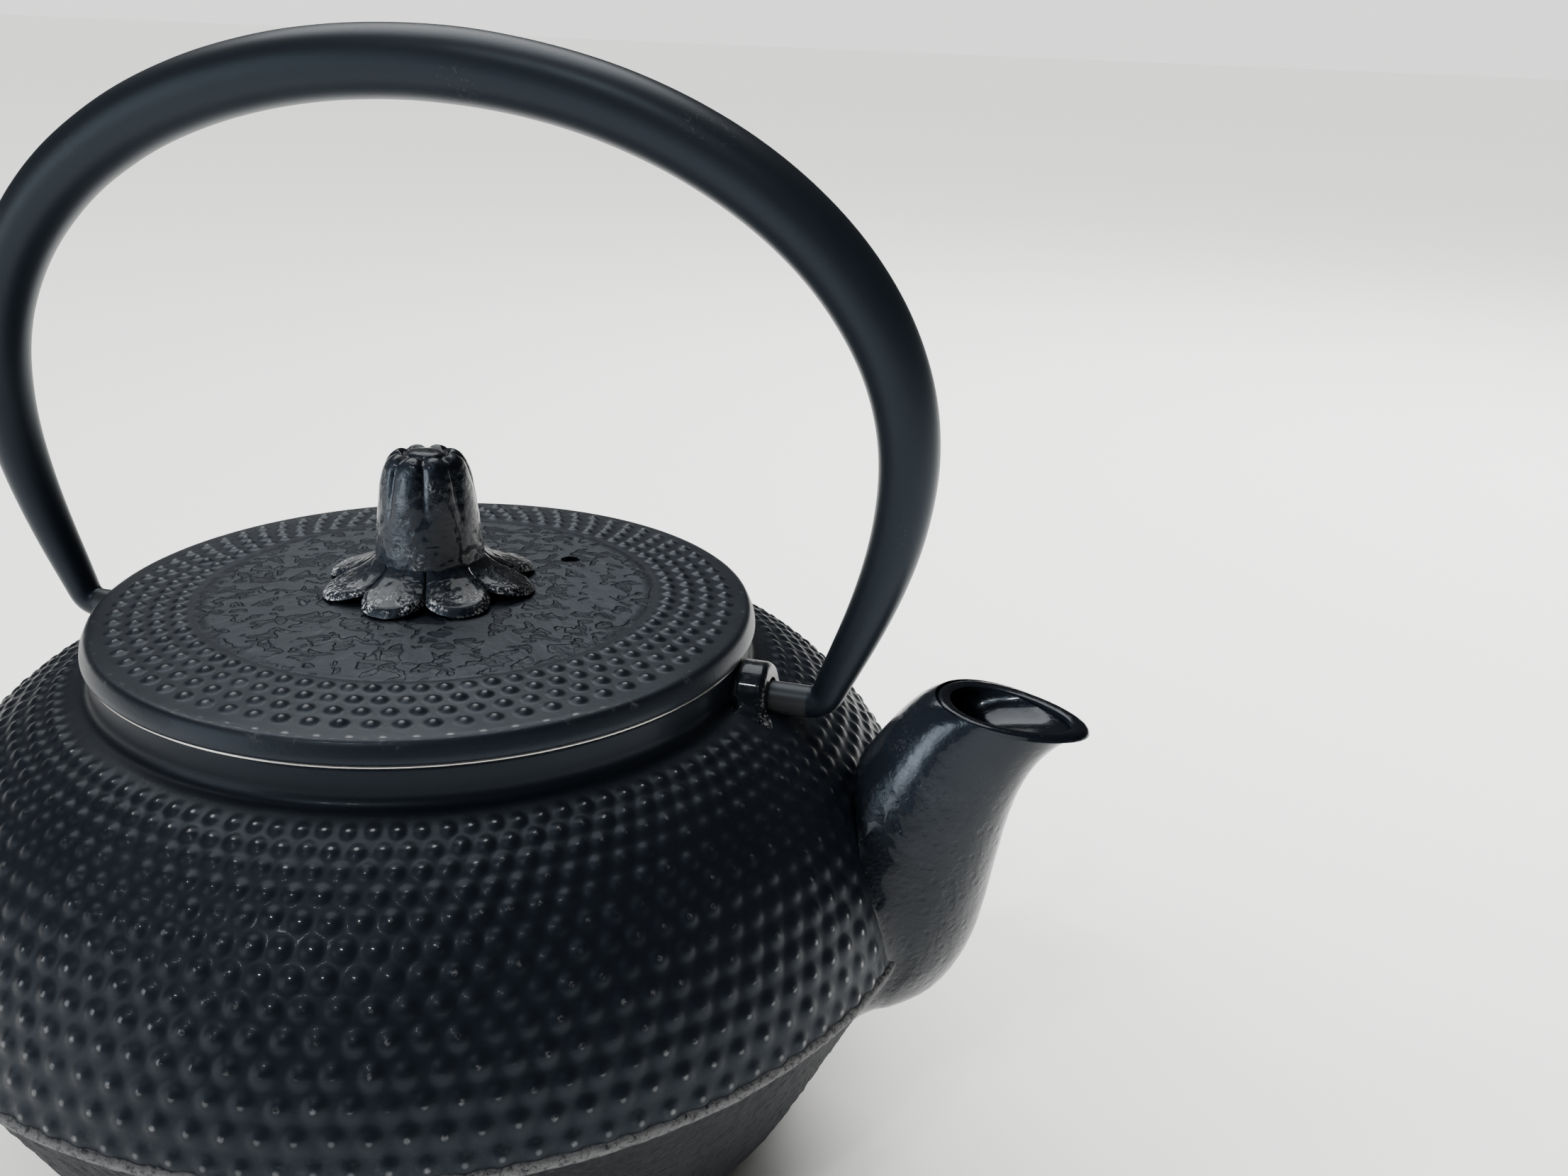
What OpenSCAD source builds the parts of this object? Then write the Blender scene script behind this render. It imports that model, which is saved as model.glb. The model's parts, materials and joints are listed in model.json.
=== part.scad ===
// Cast iron teapot with a hobnail body, a swinging bow handle, a lift-off lid and an infuser.
// Origin: on the pot's axis, on the flat base. +Z is up, +X points along the spout.

/* [Pot] */
// Outer diameter at the ridge, the widest place
body_d = 150; // [130:1:190]
// Height of the lid's upper edge above the base
body_h = 76; // [64:1:96]
// Height of the ridge line that parts the dotted shoulder from the rough underside
ridge_h = 35.7; // [28:0.1:40]
// Diameter of the flat base
base_d = 102; // [86:1:122]
// Outer diameter of the neck under the lid
neck_d = 93.6; // [78:0.2:114]
// Thickness of the iron wall
wall = 3.5; // [2.8:0.1:4.4]
// Thickness of the enamel lining
lining_t = 0.5; // [0.3:0.1:0.7]

/* [Spout] */
// How far the pouring lip stands out past the ridge
spout_reach = 21; // [17:0.5:26]
// Width of the spout where it leaves the body
spout_root_w = 33.4; // [26:0.2:40]
// Width of the mouth of the spout
spout_mouth_w = 15; // [12:0.5:18]
// Thickness of the spout's wall
spout_wall = 2.4; // [2:0.1:3]

/* [Lugs and handle] */
// Diameter of the handle's bent-in ends
pin_d = 4.6; // [4:0.1:5.8]
// Gap between a handle end and its hole, measured on the radius
pin_play = 0.35; // [0.2:0.05:0.6]
// Thickness of a lug
lug_t = 4.8; // [4:0.1:6]
// Iron left round the hole of a lug
lug_rim = 2.2; // [1.8:0.1:3]
// Diameter of the bow at its top, where it is held
grip_d = 9.5; // [7.5:0.1:12]
// Height of the bow's centreline above the hinge
bow_rise = 82.4; // [68:0.2:100]

/* [Lid and knob] */
// Height of the lid's plain rim
lid_edge_h = 3; // [2.4:0.1:4]
// Rise of the lid's crown above its edge
lid_crown = 2.6; // [1.5:0.1:4]
// Depth of the locating ring under the lid
lid_skirt_h = 5.5; // [4:0.5:8]
// Diameter of the vent hole
vent_d = 3; // [2:0.1:4]
// Height of the knob above the lid's edge
knob_h = 22.2; // [18:0.2:27]
// Diameter of the knob's waist
knob_d = 14.8; // [12:0.1:17]

/* [Infuser] */
// Thickness of the infuser's sheet metal
sheet_t = 0.5; // [0.4:0.1:0.8]
// Height of the infuser's floor above the base
basket_floor_z = 20; // [14:1:28]

/* [Hidden] */
$fn = 96;
bite = 1;                        // how far a cutting shape runs past what it cuts
iron = [0.13, 0.14, 0.16];
iron_gloss = [0.08, 0.08, 0.09];
enamel = [0.05, 0.05, 0.06];
steel = [0.75, 0.75, 0.73];

// Pot: heights, counted up from the base
body_r = body_d / 2;
knob_r = knob_d / 2;
base_r = base_d / 2;
neck_r = neck_d / 2;
lid_z = body_h - lid_edge_h;     // underside of the lid's rim
rim_z = lid_z - sheet_t;         // top of the pot's neck, under the infuser's flange
neck_z = rim_z - 4.8;            // where the neck meets the shoulder
ridge_proud = 0.6;               // how far the ridge line stands out of the shoulder
ridge_w = 1.6;
shoulder_r = body_r - ridge_proud;
shoulder_power = 1.65;           // 2 would be a true ellipse
shoulder_steps = 20;
ridge_skip = 3;                  // steps of the shoulder in the hollow's first stretch above the ridge
base_steps = 5;
base_round = 8;
cone_foot_r = base_r + 6.5;      // radius of the underside's slope carried on down to the table
neck_edge = 0.6;
mouth_r = neck_r - 6.2;

// Lugs and handle
pin_r = pin_d / 2;
bore_r = pin_r + pin_play;
lug_r = bore_r + lug_rim;
hinge_z = neck_z;
lug_face_x = neck_r + lug_t + 1;
lug_in_x = neck_r - 2;
lug_foot_w = lug_r + 3.2;        // half the lug's width at its lowest
lug_drop = 8;                    // how far the lug reaches down into the shoulder
pin_end_x = neck_r + 1.8;
bore_end_x = pin_end_x - 0.6;
elbow_x = lug_face_x + 6.6;      // corner where the bow's leg meets its bent-in end
elbow_leg = pin_r * 0.95;        // how far from that corner the bend begins and ends
elbow_steps = 6;
leg_lean = 22;                   // the leg leans out by this angle above the elbow
leg_pull = 9.8;                  // how long the leg keeps that direction
pin_step = 0.1;                  // the bend is this much thinner than the straight end
pin_start_x = elbow_x - elbow_leg - 0.3;
relief_r = pin_r + 0.9;          // hollow in the shoulder under the bent-in end
bow_side_x = elbow_x + 9.8;      // half the width of the bow's centreline
bow_side_z = hinge_z + bow_rise * 0.42;
bow_top_pull = 0.565;            // how square the bow's top is
bow_corner_pull = 0.56;
bow_leg_pull = 0.64;             // how long the bow keeps upright below its widest place
bow_taper = 2.2;                 // how soon the rod thins below the hand
bow_steps = 15;
bow_sides = 16;

// Spout
spout_sides = 28;
spout_steps = 14;
spout_tip_drop = 6.6;            // lip below the lid's edge
spout_back_drop = 3.9;           // back of the mouth below the lid's edge
spout_foot_z = ridge_h - 14.7;   // lowest place where the spout grows out of the underside
spout_bury = 1.5;                // how deep the spout's root starts inside the pot
belly_reach = 0.93;              // how far out the front line is pulled low down, as a share of the reach
belly_lift = 2.5;                // height of that pull above the spout's foot
throat_reach = 0.095;            // the same for the hollow under the lip
throat_drop = 8.9;               // depth of that pull below the lip
egg_share = 0.18;                // how much narrower than round the front of the mouth is
mouth_rim_t = 1.6;
lip_t = 3;
channel_hole_r = 8;

// Infuser
flange_r = neck_r + 0.4;
collar_r = mouth_r - lining_t - 0.7;
collar_h = 9;
wall_r = collar_r - sheet_t;
mesh_t = 0.6;
band_h = 5;

// Lid and knob
lid_r = neck_r + 0.7;
lid_top_r = lid_r - 1;
lid_gap = 0.5;                   // between the lid's edge and what stands beside it
skirt_r = wall_r - mesh_t - 0.9;
skirt_t = 2.5;
lid_plate_t = 3;
seat_r = knob_r + 1.3;           // flat that the knob stands on
seat_z = body_h + lid_crown - 0.4;
stem_r = 2.5;
stem_play = 0.1;
vent_x = 14.7;
vent_y = 17.3;
knob_top_z = body_h + knob_h;
lobes = 8;
groove_r = 1.2;
groove_lean = 8;                 // a groove between two lobes leans out by this angle
petal_tip_r = knob_r * 2.13;
washer_t = 0.8;
washer_r = 4.6;
rivet_head = [[0, 0], [3.6, 0], [3.2, -0.7], [2, -1.3], [0, -1.5]];

// ---- shared geometry ----

function unit(v) = v / norm(v);
function mix(a, b, t) = a + (b - a) * t;
function bezier3(p, t) = pow(1 - t, 3) * p[0] + 3 * pow(1 - t, 2) * t * p[1]
    + 3 * (1 - t) * pow(t, 2) * p[2] + pow(t, 3) * p[3];
function bezier2(p, t) = pow(1 - t, 2) * p[0] + 2 * (1 - t) * t * p[1] + pow(t, 2) * p[2];

// Direction of an open line of points before point i and halfway round the corner at it
function before(line, i) = unit(line[max(i, 1)] - line[max(i, 1) - 1]);
function after(line, i) = before(line, min(i + 1, len(line) - 1));
function heading(line, i) = unit(before(line, i) + after(line, i));
function left_of(v) = [-v[1], v[0]];

// The line moved to its left-hand side by d, square to each of its stretches
function inward(line, d) = [for (i = [0 : len(line) - 1])
    let (h = heading(line, i))
    line[i] + left_of(h) * d / (h * before(line, i))];

// Solid through a row of closed rings that all have the same number of points
module skin(rings) {
    n = len(rings[0]);
    last = len(rings) - 1;
    sides = [for (i = [0 : last - 1], j = [0 : n - 1])
        [i * n + j, (i + 1) * n + j, (i + 1) * n + (j + 1) % n, i * n + (j + 1) % n]];
    start_cap = [for (j = [0 : n - 1]) j];
    end_cap = [for (j = [n - 1 : -1 : 0]) last * n + j];
    polyhedron(points = [for (ring = rings) each ring], faces = concat([start_cap], sides, [end_cap]),
        convexity = 8);
}

module mirrored_copy(axis) {
    children();
    mirror(axis) children();
}

// ---- pot ----

function cone_r(z) = mix(cone_foot_r, shoulder_r, z / ridge_h);
function shoulder_point(a) = [
    neck_r + (shoulder_r - neck_r) * pow(cos(a), 2 / shoulder_power),
    ridge_h + (neck_z - ridge_h) * pow(sin(a), 2 / shoulder_power)
];
base_corner = [[base_r, 0], [cone_foot_r, 0], [cone_r(base_round), base_round]];
base_line = [for (i = [0 : base_steps]) bezier2(base_corner, i / base_steps)];
shoulder_line = [for (i = [0 : shoulder_steps]) shoulder_point(90 * i / shoulder_steps)];
body_line = concat([[0, 0]], base_line, shoulder_line);
// The same line with a long stretch above the ridge, which keeps its length when it is moved inwards
hollow_line = concat([[0, 0]], base_line,
    [for (i = [0 : shoulder_steps]) if (i == 0 || i >= ridge_skip) shoulder_line[i]]);

// The whole outside of the pot as one solid, without the ridge line
module body_solid() {
    rotate_extrude()
        polygon(concat(body_line, [
            [neck_r, rim_z - neck_edge], [neck_r - neck_edge, rim_z], [0, rim_z]
        ]));
}

// Everything inside a wall of thickness t, open at the neck
module body_hollow(t, opening_r) {
    inner = inward(hollow_line, t);
    rotate_extrude()
        polygon(concat(inner, [[0, inner[len(inner) - 1][1]]]));
    translate([0, 0, neck_z - 2 * t])
        cylinder(r = opening_r, h = rim_z - neck_z + 2 * t + bite);
}

module ridge_line() {
    rotate_extrude()
        polygon([
            [body_r - 4 * ridge_proud, ridge_h - ridge_w], [cone_r(ridge_h - ridge_w / 2), ridge_h - ridge_w / 2],
            [body_r, ridge_h - ridge_w / 5], [body_r, ridge_h + ridge_w / 5],
            [shoulder_r - 0.05, ridge_h + ridge_w / 2], [body_r - 4 * ridge_proud, ridge_h + ridge_w]
        ]);
}

// Round way from the pot into the spout
module spout_hole() {
    translate([way_mid[0], 0, way_mid[1]])
        rotate([0, 90 - way_tilt, 0])
            translate([0, 0, -4 * wall])
                cylinder(r = channel_hole_r, h = 8 * wall);
}

// The ear's outline seen along the pot's X axis, with the hinge at its origin
module lug_outline() {
    circle(r = lug_r);
    polygon([[-lug_r, 0], [lug_r, 0], [lug_foot_w, -lug_drop], [-lug_foot_w, -lug_drop]]);
}

// An ear grown out of the neck and shoulder, cut back where the flange and the lid lie
module lug() {
    difference() {
        translate([lug_in_x, 0, hinge_z])
            rotate([90, 0, 90])
                linear_extrude(lug_face_x - lug_in_x)
                    lug_outline();
        translate([0, 0, rim_z])
            cylinder(r = lid_r + lid_gap, h = lug_r);
    }
}

// Blind hole for a handle end, with the hollow in the shoulder that the end turns in
module hinge_hole() {
    translate([bore_end_x, 0, hinge_z])
        rotate([0, 90, 0])
            cylinder(r = bore_r, h = lug_face_x - bore_end_x + bite);
    translate([lug_face_x, 0, hinge_z])
        rotate([0, 90, 0])
            cylinder(r = relief_r, h = elbow_x - lug_face_x + 2 * pin_d);
}

module pot_body() {
    color(iron)
        difference() {
            union() {
                body_solid();
                ridge_line();
                mirrored_copy([1, 0, 0]) lug();
            }
            body_hollow(wall, mouth_r);
            spout_hole();
            mirrored_copy([1, 0, 0]) hinge_hole();
        }
}

module enamel_lining() {
    color(enamel)
        difference() {
            intersection() {
                body_hollow(wall, mouth_r);
                cylinder(r = body_d, h = rim_z - neck_edge);
            }
            body_hollow(wall + lining_t, mouth_r - lining_t);
            spout_hole();
        }
}

// ---- spout ----

// The spout is a stack of egg-shaped sections. In the plane y = 0 each one reaches
// from a point on the back line to a point on the front line.
root_back = [body_r - 16.5, mix(ridge_h, neck_z, 0.48)];
root_front = [cone_r(spout_foot_z) - spout_bury, spout_foot_z];
mouth_back = [body_r, body_h - spout_back_drop];
mouth_tip = [body_r + spout_reach, body_h - spout_tip_drop];
spout_back = [root_back, mix(root_back, mouth_back, 0.42), mouth_back - [5, 1.4], mouth_back];
spout_front = [
    root_front,
    [body_r + spout_reach * belly_reach, spout_foot_z + belly_lift],
    [body_r + spout_reach * throat_reach, mouth_tip[1] - throat_drop],
    mouth_tip
];

// The round way into the spout is square to the line from root_back to this place near the ridge
way_foot = [body_r - 4.5, ridge_h - 5.2];
way_mid = (root_back + way_foot) / 2;
way_tilt = atan2(root_back[0] - way_foot[0], way_foot[1] - root_back[1]) + 180;

function spout_half_w(t) = mix(spout_root_w, spout_mouth_w, 1 - pow(1 - t, 1.6)) / 2;
function egg(t) = egg_share * pow(t, 3);

// One section of the spout at t, 0 at the root and 1 at the mouth, shrunk by the given insets
function spout_ring(t, back_inset, front_inset, side_inset) =
    let (
        b = bezier3(spout_back, t),
        f = bezier3(spout_front, t),
        u = unit(f - b),
        reach = norm(f - b) - back_inset - front_inset,
        w = spout_half_w(t) - side_inset
    )
    [for (k = [0 : spout_sides - 1])
        let (
            a = 360 * k / spout_sides,
            along = back_inset + reach * (1 + cos(a)) / 2
        )
        [b[0] + u[0] * along, w * sin(a) * (1 - egg(t) * cos(a)), b[1] + u[1] * along]];

function lifted(ring, d) = [for (p = ring) p + [0, 0, d]];

outer_rings = [for (i = [0 : spout_steps]) spout_ring(i / spout_steps, 0, 0, 0)];
channel_rings = [for (i = [0 : spout_steps])
    let (t = i / spout_steps)
    spout_ring(t, mix(spout_wall, mouth_rim_t, t), mix(spout_wall, lip_t, t), mix(spout_wall, mouth_rim_t, t))];

module spout() {
    color(iron_gloss)
        difference() {
            skin(outer_rings);
            skin(concat(channel_rings, [lifted(channel_rings[spout_steps], 2 * bite)]));
            body_solid();
            ridge_line();
        }
}

// ---- handle ----

leg_dir = [sin(leg_lean), cos(leg_lean)];
elbow = [elbow_x, hinge_z];
elbow_top = elbow + elbow_leg * leg_dir;
bow_upper = [
    [0, hinge_z + bow_rise],
    [bow_side_x * bow_top_pull, hinge_z + bow_rise],
    [bow_side_x, mix(bow_side_z, hinge_z + bow_rise, bow_corner_pull)],
    [bow_side_x, bow_side_z]
];
bow_lower = [
    [bow_side_x, bow_side_z],
    [bow_side_x, mix(hinge_z, bow_side_z, bow_leg_pull)],
    elbow_top + leg_pull * leg_dir,
    elbow_top
];
bow_elbow = [elbow_top, elbow, elbow - [elbow_leg, 0]];
bow_front = concat(
    [for (i = [0 : bow_steps]) bezier3(bow_upper, i / bow_steps)],
    [for (i = [1 : bow_steps]) bezier3(bow_lower, i / bow_steps)],
    [for (i = [1 : elbow_steps]) bezier2(bow_elbow, i / elbow_steps)],
    [[pin_start_x - bite, hinge_z]]
);
bow_back = [for (i = [len(bow_front) - 1 : -1 : 1]) [-bow_front[i][0], bow_front[i][1]]];
bow_line = concat(bow_back, bow_front);

// The rod is thickest in the hand and thins towards its ends
bend_r = pin_r - pin_step;
function bow_r(z) = grip_d / 2 - (grip_d / 2 - bend_r) * pow(max(0, 1 - (z - hinge_z) / bow_rise), bow_taper);

bow_rings = [for (i = [0 : len(bow_line) - 1])
    let (
        c = bow_line[i],
        n = left_of(heading(bow_line, i)),
        r = bow_r(c[1])
    )
    [for (k = [0 : bow_sides - 1])
        let (a = 360 * k / bow_sides)
        [c[0] + n[0] * r * cos(a), -r * sin(a), c[1] + n[1] * r * cos(a)]]];

// Straight round end that turns in a lug
module handle_end() {
    translate([pin_end_x, 0, hinge_z])
        rotate([0, 90, 0])
            cylinder(r = pin_r, h = pin_start_x - pin_end_x);
}

module handle() {
    color(iron) {
        skin(bow_rings);
        mirrored_copy([1, 0, 0]) handle_end();
    }
}

// ---- infuser ----

module ring(outer_r, inner_r, z, h) {
    translate([0, 0, z])
        difference() {
            cylinder(r = outer_r, h = h);
            translate([0, 0, -bite])
                cylinder(r = inner_r, h = h + 2 * bite);
        }
}

module infuser_rim() {
    color(steel)
        union() {
            ring(flange_r, wall_r, rim_z, sheet_t);
            ring(collar_r, wall_r, lid_z - collar_h, collar_h);
        }
}

module infuser_wall() {
    color(steel)
        ring(wall_r, wall_r - mesh_t, basket_floor_z, lid_z - collar_h / 2 - basket_floor_z);
}

module infuser_base_band() {
    color(steel)
        ring(wall_r + sheet_t, wall_r, basket_floor_z, band_h);
}

module infuser_floor() {
    color(steel)
        translate([0, 0, basket_floor_z])
            cylinder(r = wall_r - mesh_t, h = mesh_t);
}

// ---- lid ----

function crown_z(r) = body_h + lid_crown * (1 - pow(r / lid_top_r, 2));
crown_line = [for (i = [0 : 10]) let (r = lid_top_r * (1 - i / 10)) [r, crown_z(r)]];

module lid() {
    skirt_z = lid_z - lid_skirt_h;
    under_z = seat_z - lid_plate_t;
    color(iron)
        difference() {
            rotate_extrude()
                polygon(concat(
                    [[0, under_z], [skirt_r - skirt_t - 2, under_z], [skirt_r - skirt_t, lid_z - 1],
                    [skirt_r - skirt_t, skirt_z], [skirt_r, skirt_z], [skirt_r, lid_z],
                    [lid_r, lid_z], [mix(lid_r, lid_top_r, 0.6), body_h - 0.6]],
                    crown_line
                ));
            translate([0, 0, seat_z])
                cylinder(r = seat_r, h = lid_crown);
            cylinder(r = stem_r + stem_play, h = body_h + 2 * lid_crown);
            translate([vent_x, vent_y, 0])
                cylinder(d = vent_d, h = body_h + 2 * lid_crown);
        }
}

// ---- knob ----

// Outline of the bud: share of the knob's radius, and share of the height above its seat
bud_shares = [
    [1.08, 0], [1.06, 0.2], [1, 0.4], [0.94, 0.62], [0.86, 0.8], [0.765, 0.92], [0.62, 0.98], [0.43, 1]
];
knob_line = concat(
    [[0, seat_z]],
    [for (p = bud_shares) [knob_r * p[0], mix(seat_z, knob_top_z, p[1])]],
    [[0, knob_top_z]]
);

// Outline of the petals, counted out from the knob's radius and up from its seat
petal_top_z = seat_z + 6.4;
petal_line = [
    [knob_r - 1, petal_top_z], [knob_r + 0.8, petal_top_z - 1.4], [knob_r + 3, petal_top_z - 3.6],
    [knob_r + 5.8, petal_top_z - 4.6], [petal_tip_r, seat_z + 0.9], [petal_tip_r - 0.3, seat_z + 0.4],
    [knob_r + 5, seat_z + 0.8], [knob_r + 2, seat_z + 1.6], [knob_r - 1, seat_z + 1.8]
];

// Shallow groove between two lobes, which runs out towards the knob's waist
module flute() {
    translate([knob_r * 0.82 + groove_r * 0.5, 0, knob_top_z])
        rotate([0, 180 - groove_lean, 0])
            cylinder(r = groove_r, h = knob_h * 0.62);
}

module petals() {
    petal_mid_r = mix(knob_r, petal_tip_r, 0.42);
    intersection() {
        rotate_extrude() polygon(petal_line);
        for (i = [0 : lobes - 1])
            rotate([0, 0, i * 360 / lobes])
                translate([petal_mid_r, 0, seat_z])
                    cylinder(r = petal_tip_r - petal_mid_r, h = petal_top_z - seat_z);
    }
}

module lid_knob() {
    under_z = seat_z - lid_plate_t - washer_t;
    color(iron_gloss) {
        difference() {
            rotate_extrude() polygon(knob_line);
            for (i = [0 : lobes - 1])
                rotate([0, 0, (i + 0.5) * 360 / lobes]) flute();
            translate([0, 0, knob_top_z])
                rotate_extrude() translate([knob_r * 0.4, 0]) circle(r = groove_r / 2);
        }
        petals();
        translate([0, 0, under_z])
            cylinder(r = stem_r, h = seat_z - under_z + bite);
        translate([0, 0, under_z])
            rotate_extrude()
                polygon(rivet_head);
    }
}

module knob_washer() {
    color(steel)
        ring(washer_r, stem_r + stem_play, seat_z - lid_plate_t - washer_t, washer_t);
}

pot_body();
spout();
enamel_lining();
handle();
infuser_rim();
infuser_wall();
infuser_base_band();
infuser_floor();
lid();
lid_knob();
knob_washer();
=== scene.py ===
"""Looks of the cast iron teapot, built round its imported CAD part."""

import json
import math

import bmesh
import bpy
import numpy as np
from bpy.props import FloatProperty, FloatVectorProperty, IntProperty, PointerProperty
from mathutils import Matrix, Vector, noise


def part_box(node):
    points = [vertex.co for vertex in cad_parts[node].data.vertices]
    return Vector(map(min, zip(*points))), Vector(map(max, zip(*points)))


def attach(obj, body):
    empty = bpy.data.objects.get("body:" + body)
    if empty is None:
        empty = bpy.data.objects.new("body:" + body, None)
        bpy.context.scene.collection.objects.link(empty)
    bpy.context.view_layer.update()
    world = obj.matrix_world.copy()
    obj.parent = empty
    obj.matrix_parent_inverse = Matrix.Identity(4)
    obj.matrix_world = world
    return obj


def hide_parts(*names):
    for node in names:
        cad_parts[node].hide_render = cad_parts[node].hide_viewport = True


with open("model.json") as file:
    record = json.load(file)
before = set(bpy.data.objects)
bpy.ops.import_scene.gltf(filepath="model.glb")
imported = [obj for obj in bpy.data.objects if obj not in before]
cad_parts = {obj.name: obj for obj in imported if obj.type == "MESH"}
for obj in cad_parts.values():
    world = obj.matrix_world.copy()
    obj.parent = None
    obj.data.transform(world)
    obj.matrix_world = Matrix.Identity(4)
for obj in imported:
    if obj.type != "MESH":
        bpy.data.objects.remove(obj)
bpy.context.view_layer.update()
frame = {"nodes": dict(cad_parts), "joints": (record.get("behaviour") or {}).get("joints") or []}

bl_info = {
    "name": "Cast Iron Teapot",
    "version": (1, 0, 0),
    "blender": (4, 5, 0),
    "location": "View3D > Sidebar > Teapot",
    "description": "Makes a hobnail cast iron teapot with a bow handle, a lid and an infuser",
    "category": "Add Mesh",
}

MM = 0.001
POT_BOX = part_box("pot_body")
LID_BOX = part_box("lid")
KNOB_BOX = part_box("lid_knob")
BOW_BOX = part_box("handle")
SPOUT_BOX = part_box("spout")
FLANGE_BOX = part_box("infuser_rim")
WALL_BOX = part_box("infuser_wall")
JOINTS = {joint["name"]: joint for joint in frame["joints"]}
HINGE_Z = JOINTS["handle_swing"]["pos_m"][2]
SHEET = 0.5 * MM
LID_Z = FLANGE_BOX[1].z
RIM_Z = LID_Z - SHEET
NECK_R = FLANGE_BOX[1].x - 0.4 * MM
LID_EDGE = 3 * MM


# ---- properties ----


def length(name, text, default):
    """A size in metres."""
    return FloatProperty(
        name=name, description=text, default=default, min=0, unit="LENGTH", subtype="DISTANCE"
    )


def share(name, text, default):
    """A number from 0 to 1."""
    return FloatProperty(name=name, description=text, default=default, min=0, max=1, subtype="FACTOR")


def colour(name, text, default):
    """A linear colour."""
    return FloatVectorProperty(
        name=name, description=text, default=default, min=0, max=1, size=3, subtype="COLOR"
    )


def number_of(name, text, default, least):
    """A whole number."""
    return IntProperty(name=name, description=text, default=default, min=least)


def power(name, text, default):
    """A lamp's power in watts."""
    return FloatProperty(name=name, description=text, default=default, min=0, unit="POWER")


def strength(name, text, default):
    """A light's strength, without a unit."""
    return FloatProperty(name=name, description=text, default=default, min=0)


class PotSizes(bpy.types.PropertyGroup):
    """Sizes of the pot, its dots and its ears."""

    body_r: length("Body radius", "Radius at the ridge line, the widest place", POT_BOX[1].y)
    ridge_z: length("Ridge height", "Height of the ridge line above the base", 35.7 * MM)
    ridge_proud: length("Ridge height out", "How far the ridge line stands out of the shoulder", 0.6 * MM)
    base_r: length("Base radius", "Radius of the flat base", 51 * MM)
    wall: length("Wall", "Thickness of the iron", 3.5 * MM)
    mouth_r: length("Mouth radius", "Radius of the opening in the neck", NECK_R - 6.2 * MM)
    dots_round: number_of("Dots round", "Dots in one ring of the shoulder", 116, 24)
    dot_height: share("Dot height", "Height of a dot as a share of the space between dots", 0.125)
    dot_width: share("Dot width", "Reach of a dot from its centre as a share of the space between dots", 0.42)
    row_gap: share("Row gap", "Space between rings as a share of the space between dots", 0.905)
    lug_r: length("Ear radius", "Radius of the round top of an ear", 4.85 * MM)
    lug_out: length("Ear reach", "How far an ear reaches out from the neck", 5.8 * MM)
    bore_r: length("Hole radius", "Radius of the hole in an ear", 2.65 * MM)


class SpoutSizes(bpy.types.PropertyGroup):
    """Sizes of the spout."""

    reach: length("Reach", "How far the lip stands out past the ridge", SPOUT_BOX[1].x - POT_BOX[1].y)
    root_w: length("Root width", "Width where the spout leaves the body", 33.4 * MM)
    mouth_w: length("Mouth width", "Width of the mouth", 15 * MM)
    wall: length("Wall", "Thickness of the spout", 2.4 * MM)
    fillet: length("Fillet", "Radius of the soft join with the body", 4.5 * MM)
    way_r: length("Way radius", "Radius of the way from the pot into the spout", 8 * MM)


class BowSizes(bpy.types.PropertyGroup):
    """Sizes of the bow handle."""

    grip_d: length("Grip diameter", "Diameter of the bow at its top", 9.5 * MM)
    pin_d: length("End diameter", "Diameter of the bent-in ends", 4.6 * MM)
    rise: length("Rise", "Height of the bow's centreline above the hinge", BOW_BOX[1].z - 4.75 * MM - HINGE_Z)
    elbow_x: length("Elbow", "Distance of the elbows from the pot's axis", 59.2 * MM)


class LidSizes(bpy.types.PropertyGroup):
    """Sizes of the lid, its dots and its knob."""

    lid_r: length("Lid radius", "Radius of the lid's lower edge", LID_BOX[1].x)
    crown: length("Crown", "Rise of the lid above its edge", 2.6 * MM)
    dots_round: number_of("Dots round", "Dots in one ring of the lid", 74, 24)
    dot_rows: number_of("Dot rings", "Rings of dots on the lid", 4, 1)
    first_dot_r: length("First ring", "Radius of the outermost ring of dots", 43 * MM)
    dot_gap: length("Ring gap", "Space between two rings of dots", 2.8 * MM)
    dot_r: length("Dot radius", "Reach of a dot from its centre", 1.12 * MM)
    dot_height: length("Dot height", "Height of one dot", 0.5 * MM)
    vent_d: length("Vent", "Diameter of the vent hole", 3 * MM)
    knob_r: length("Knob radius", "Radius of the knob's waist", 7.4 * MM)
    lobes: number_of("Lobes", "Lobes of the knob, and petals under it", 8, 3)


class Colours(bpy.types.PropertyGroup):
    """Colours of the finishes."""

    coat: colour("Coating", "Satin coating of the body", (0.0045, 0.0058, 0.0088))
    gloss: colour("Gloss", "Glossy coating of the spout and knob", (0.0028, 0.0036, 0.0052))
    grip: colour("Bow", "Coating of the bow handle", (0.006, 0.0082, 0.0118))
    skin: colour("Rough skin", "Bare, greyer casting skin", (0.03, 0.033, 0.038))
    wear: colour("Wear", "Rubbed edges", (0.3, 0.3, 0.305))
    enamel: colour("Enamel", "Enamel inside the pot", (0.006, 0.006, 0.007))
    steel: colour("Steel", "Infuser's stainless steel", (0.58, 0.57, 0.54))
    floor: colour("Floor", "Pale paper that the pot stands on", (0.8, 0.795, 0.775))


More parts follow.
